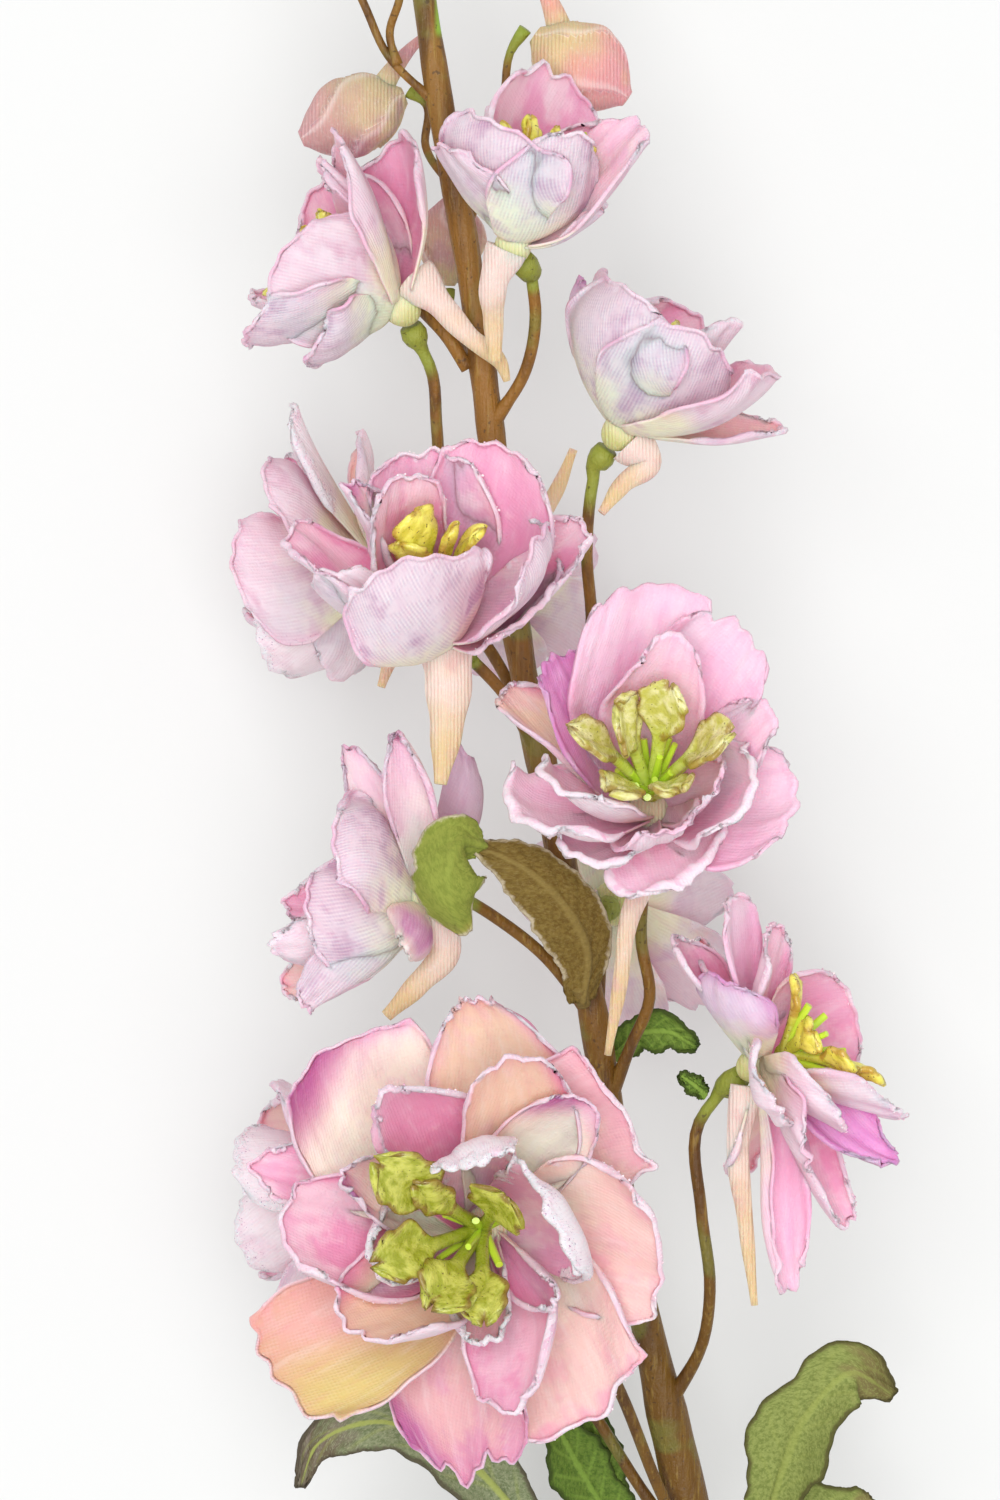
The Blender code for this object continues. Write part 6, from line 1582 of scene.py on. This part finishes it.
def leaf_material(name, look):
    """Flocked cloth leaf: mottled blade, paler midrib and veins, dry brown edges and a light crust."""
    recipe = Recipe(name, 0.8, DULL_LEAF)
    t, s, rim = recipe.read_surface()
    inside = recipe.attribute("side", "Fac")
    broad = recipe.noise(0.22, 3)
    fine = recipe.noise(1.5, 4, 0.65)
    grain = recipe.noise(3.4, 2, 0.6)
    recipe.colour = recipe.mix(recipe.step(broad, 0.35, 0.65), look["blade"], look["blotch"])
    recipe.lay(1 - inside, recipe.mix(recipe.step(fine, 0.40, 0.62), look["under"], look["under_blotch"]))
    recipe.lay(recipe.step(t + (broad - 0.5) * 0.3, look["turn"], look["turn"] + 0.12),
               recipe.mix(recipe.step(broad, 0.4, 0.62), look["tip"], look["tip_blotch"]))
    recipe.lay(recipe.step(grain, 0.50, 0.66) * 0.45, look["fleck"])
    width = recipe.sum("ABSOLUTE", s)
    midrib = 1 - recipe.step(width + (fine - 0.5) * 0.08, 0.04, 0.13)
    vein = recipe.sum("PINGPONG", t * LEAF_VEINS - width * VEIN_SLANT, 0.5) * 2
    veins = (1 - recipe.step(vein, 0.05, 0.30)) * (1 - recipe.step(width, 0.6, 0.9)) * look["veins"]
    recipe.lay(recipe.sum("MAXIMUM", midrib * look["midrib"], veins), look["rib"])
    recipe.lay((1 - recipe.step(rim + (fine - 0.5) * 1.6, 0.10, 0.85)) * 0.85, look["edge"])
    return recipe.finish(fine * 0.6 + grain * 0.5 - veins * 0.6, LEAF_RELIEF, fine * 0.25 + 0.62)


def grain_material():
    """Frosted grains: near white, some pink or violet."""
    recipe = Recipe("frost grains", 0.7)
    recipe.cloth = recipe.node("ShaderNodeTexCoord", {}, {}, "Object")
    tone = recipe.noise(900.0)
    recipe.colour = recipe.mix(recipe.step(tone, 0.40, 0.62), "F6E9EC", "DDB3C6")
    recipe.lay(recipe.step(tone, 0.68, 0.74) * 0.6, "A8709A")
    return recipe.finish(recipe.noise(5000.0), GRAIN_RELIEF)


def floor_material():
    """A pale smooth surface."""
    recipe = Recipe("pale floor", 0.9, LIT_SURFACE)
    recipe.cloth = recipe.node("ShaderNodeTexCoord", {}, {}, "Object")
    soft = recipe.noise(2.0)
    recipe.colour = recipe.mix(soft, (0.47, 0.478, 0.474), (0.48, 0.488, 0.484))
    return recipe.finish(soft, FLOOR_RELIEF)


# Node trees for what repeats


def new_tree(name, inputs):
    """A node tree for geometry and the inputs (title, socket kind, value), and its incoming sockets."""
    tree = bpy.data.node_groups.new(name, "GeometryNodeTree")
    tree.interface.new_socket("Geometry", in_out="INPUT", socket_type="NodeSocketGeometry")
    tree.interface.new_socket("Geometry", in_out="OUTPUT", socket_type="NodeSocketGeometry")
    for title, kind, _ in inputs:
        tree.interface.new_socket(title, in_out="INPUT", socket_type=f"NodeSocket{kind}")
    return tree, add_node(tree, "NodeGroupInput", {}, {}).outputs


def add_node(tree, kind, settings, values):
    """A node with its settings, then its sockets' values or links."""
    node = tree.nodes.new(kind)
    for title, value in settings.items():
        setattr(node, title, value)
    for key, value in values.items():
        if isinstance(value, bpy.types.NodeSocket):
            tree.links.new(value, node.inputs[key])
        else:
            node.inputs[key].default_value = value
    return node


def random_vector(tree, low, high, seed):
    """A random vector for each point, between two."""
    values = {0: low, 1: high, "Seed": seed}
    return add_node(tree, "FunctionNodeRandomValue", {"data_type": "FLOAT_VECTOR"}, values).outputs[0]


def plant(tree, points, item, turn, size, material):
    """Sets an item on each point, makes it real, paints it and ends the tree."""
    values = {"Points": points, "Instance": item, "Rotation": turn, "Scale": size}
    planted = add_node(tree, "GeometryNodeInstanceOnPoints", {}, values)
    real = add_node(tree, "GeometryNodeRealizeInstances", {}, {"Geometry": planted.outputs[0]})
    values = {"Geometry": real.outputs[0], "Material": material}
    painted = add_node(tree, "GeometryNodeSetMaterial", {}, values)
    add_node(tree, "NodeGroupOutput", {}, {"Geometry": painted.outputs[0]})


def grown(name, tree, mesh, inputs, material):
    """Runs a node tree over a mesh and keeps the result as a plain piece."""
    seed = bpy.data.objects.new(name + " seed", mesh)
    bpy.context.scene.collection.objects.link(seed)
    modifier = seed.modifiers.new("Grow", "NODES")
    modifier.node_group = tree
    wanted = {title: value for title, _, value in inputs}
    for item in tree.interface.items_tree:
        if item.in_out == "INPUT" and item.name in wanted:
            modifier[item.identifier] = wanted[item.name]
    graph = bpy.context.evaluated_depsgraph_get()
    result = bpy.data.meshes.new_from_object(seed.evaluated_get(graph))
    seed.modifiers.remove(modifier)
    bpy.data.objects.remove(seed, do_unlink=True)
    result.materials.clear()
    result.materials.append(material)
    put(name, result, [])


def strew_grains(rims, material):
    """Frosted grains strewn along the petals' rims."""
    inputs = [("Spacing", "Float", GRAIN_SPACING), ("Grain Radius", "Float", GRAIN_RADIUS),
              ("Seed", "Int", 7), ("Material", "Material", material)]
    tree, taken = new_tree("grains along rims", inputs)
    line = add_node(tree, "GeometryNodeMeshToCurve", {}, {"Mesh": taken["Geometry"]})
    even = add_node(tree, "GeometryNodeResampleCurve", {"mode": "LENGTH"},
                    {"Curve": line.outputs[0], "Length": taken["Spacing"]})
    shift = random_vector(tree, (-GRAIN_SHIFT,) * 3, (GRAIN_SHIFT,) * 3, taken["Seed"])
    moved = add_node(tree, "GeometryNodeSetPosition", {}, {"Geometry": even.outputs[0], "Offset": shift})
    values = {"Radius": taken["Grain Radius"], "Subdivisions": 1}
    ball = add_node(tree, "GeometryNodeMeshIcoSphere", {}, values)
    size = random_vector(tree, (0.35, 0.35, 0.35), (1.5, 1.2, 1.2), taken["Seed"])
    turn = random_vector(tree, (0.0, 0.0, 0.0), (6.28, 6.28, 6.28), taken["Seed"])
    plant(tree, moved.outputs[0], ball.outputs[0], turn, size, taken["Material"])
    points, edges = [], []
    for rim in rims:
        edges += [(len(points) + k, len(points) + k + 1) for k in range(len(rim) - 1)]
        points += [tuple(p) for p in rim]
    mesh = bpy.data.meshes.new("rims")
    mesh.from_pydata(points, edges, [])
    grown("rim_grains", tree, mesh, inputs, material)


def grow_tufts(fingers, material):
    """The tuft of short fingers between the stamens."""
    inputs = [("Finger Length", "Float", FINGER_LENGTH), ("Finger Width", "Float", FINGER_RADIUS),
              ("Seed", "Int", 3), ("Material", "Material", material)]
    tree, taken = new_tree("tuft of fingers", inputs)
    lean = add_node(tree, "GeometryNodeInputNamedAttribute", {"data_type": "FLOAT_VECTOR"}, {"Name": "lean"})
    turned = add_node(tree, "FunctionNodeAlignRotationToVector", {"axis": "Z"}, {"Vector": lean.outputs[0]})
    values = {0: taken["Finger Width"], 1: FINGER_TAPER}
    wide = add_node(tree, "ShaderNodeMath", {"operation": "MULTIPLY"}, values)
    values = {"Vertices": 9, "Side Segments": 4, "Radius Top": taken["Finger Width"],
              "Radius Bottom": wide.outputs[0], "Depth": taken["Finger Length"]}
    finger = add_node(tree, "GeometryNodeMeshCone", {}, values)
    size = random_vector(tree, (0.75, 0.75, 0.55), (1.2, 1.2, 1.1), taken["Seed"])
    plant(tree, taken["Geometry"], finger.outputs["Mesh"], turned.outputs[0], size, taken["Material"])
    mesh = bpy.data.meshes.new("finger roots")
    mesh.from_pydata([tuple(root) for root, _ in fingers], [], [])
    layer = mesh.attributes.new("lean", "FLOAT_VECTOR", "POINT")
    layer.data.foreach_set("vector", np.array([lean for _, lean in fingers], np.float32).ravel())
    grown("tufts", tree, mesh, inputs, material)


def make_materials():
    """Every finish of the spike by name."""
    materials = {tone: petal_material(tone, {**PLAIN, **look}) for tone, look in TONES.items()}
    for name, colours in PLAIN_CLOTHS.items():
        materials[name] = plain_cloth_material(name, *colours)
    for name, colours in MOULDED_TONES.items():
        materials[name] = stamen_material(name, *colours)
    for name, look in LEAF_TONES.items():
        materials[name] = leaf_material(name, look)
    materials["stem"] = stem_material()
    return materials


def make_floor():
    """The pale surface that the spike lies on."""
    mesh = bpy.data.meshes.new("floor")
    corners = [(-FLOOR_HALF, -FLOOR_HALF, 0), (FLOOR_HALF, -FLOOR_HALF, 0),
               (FLOOR_HALF, FLOOR_HALF, 0), (-FLOOR_HALF, FLOOR_HALF, 0)]
    mesh.from_pydata(corners, [], [(0, 1, 2, 3)])
    mesh.materials.append(floor_material())
    floor = bpy.data.objects.new("floor", mesh)
    bpy.context.scene.collection.objects.link(floor)


def make_light(name, place_at, size, power):
    """A soft square lamp that faces the spike."""
    lamp = bpy.data.lights.new(name, "AREA")
    lamp.size = size
    lamp.energy = power
    item = bpy.data.objects.new(name, lamp)
    item.location = place_at
    way = np.array(LIT_POINT) - np.array(place_at)
    lean = math.atan2(math.hypot(way[0], way[1]), -way[2])
    item.rotation_euler = (lean, 0, math.atan2(way[0], -way[1]) + math.pi)
    bpy.context.scene.collection.objects.link(item)


def light_scene():
    """Bright, even studio light with a soft side to it."""
    world = bpy.data.worlds.new("studio")
    world.use_nodes = True
    backdrop = world.node_tree.nodes["Background"]
    backdrop.inputs["Color"].default_value = ROOM_COLOUR
    backdrop.inputs["Strength"].default_value = ROOM_LIGHT
    bpy.context.scene.world = world
    for name, (place_at, size, power) in LAMPS.items():
        make_light(name, place_at, size, power)
    bpy.context.scene.view_settings.view_transform = "Standard"


def make_camera():
    """Looks straight down on the spike, the tip of the spike to the top of the picture."""
    lens = bpy.data.cameras.new("camera")
    lens.sensor_width = SENSOR
    lens.lens = SENSOR * VIEW_HEIGHT / VIEW_TALL
    lens.clip_end = 50
    camera = bpy.data.objects.new("camera", lens)
    camera.location = (-ORIGIN_X, -ORIGIN_Y, VIEW_LEVEL + VIEW_HEIGHT)
    bpy.context.scene.collection.objects.link(camera)
    bpy.context.scene.camera = camera


def main():
    """Builds the whole spike on its floor."""
    materials = make_materials()
    rims = []
    fingers = []
    make_stem(materials)
    for name in BLOOMS:
        make_bloom(name, materials, rims)
        make_stamens(name, materials, fingers)
    make_buds(materials)
    for name, leaf in LEAVES.items():
        make_leaf(name, leaf, materials)
    strew_grains(rims, grain_material())
    grow_tufts(fingers, materials["finger"])
    make_floor()
    light_scene()
    make_camera()


main()
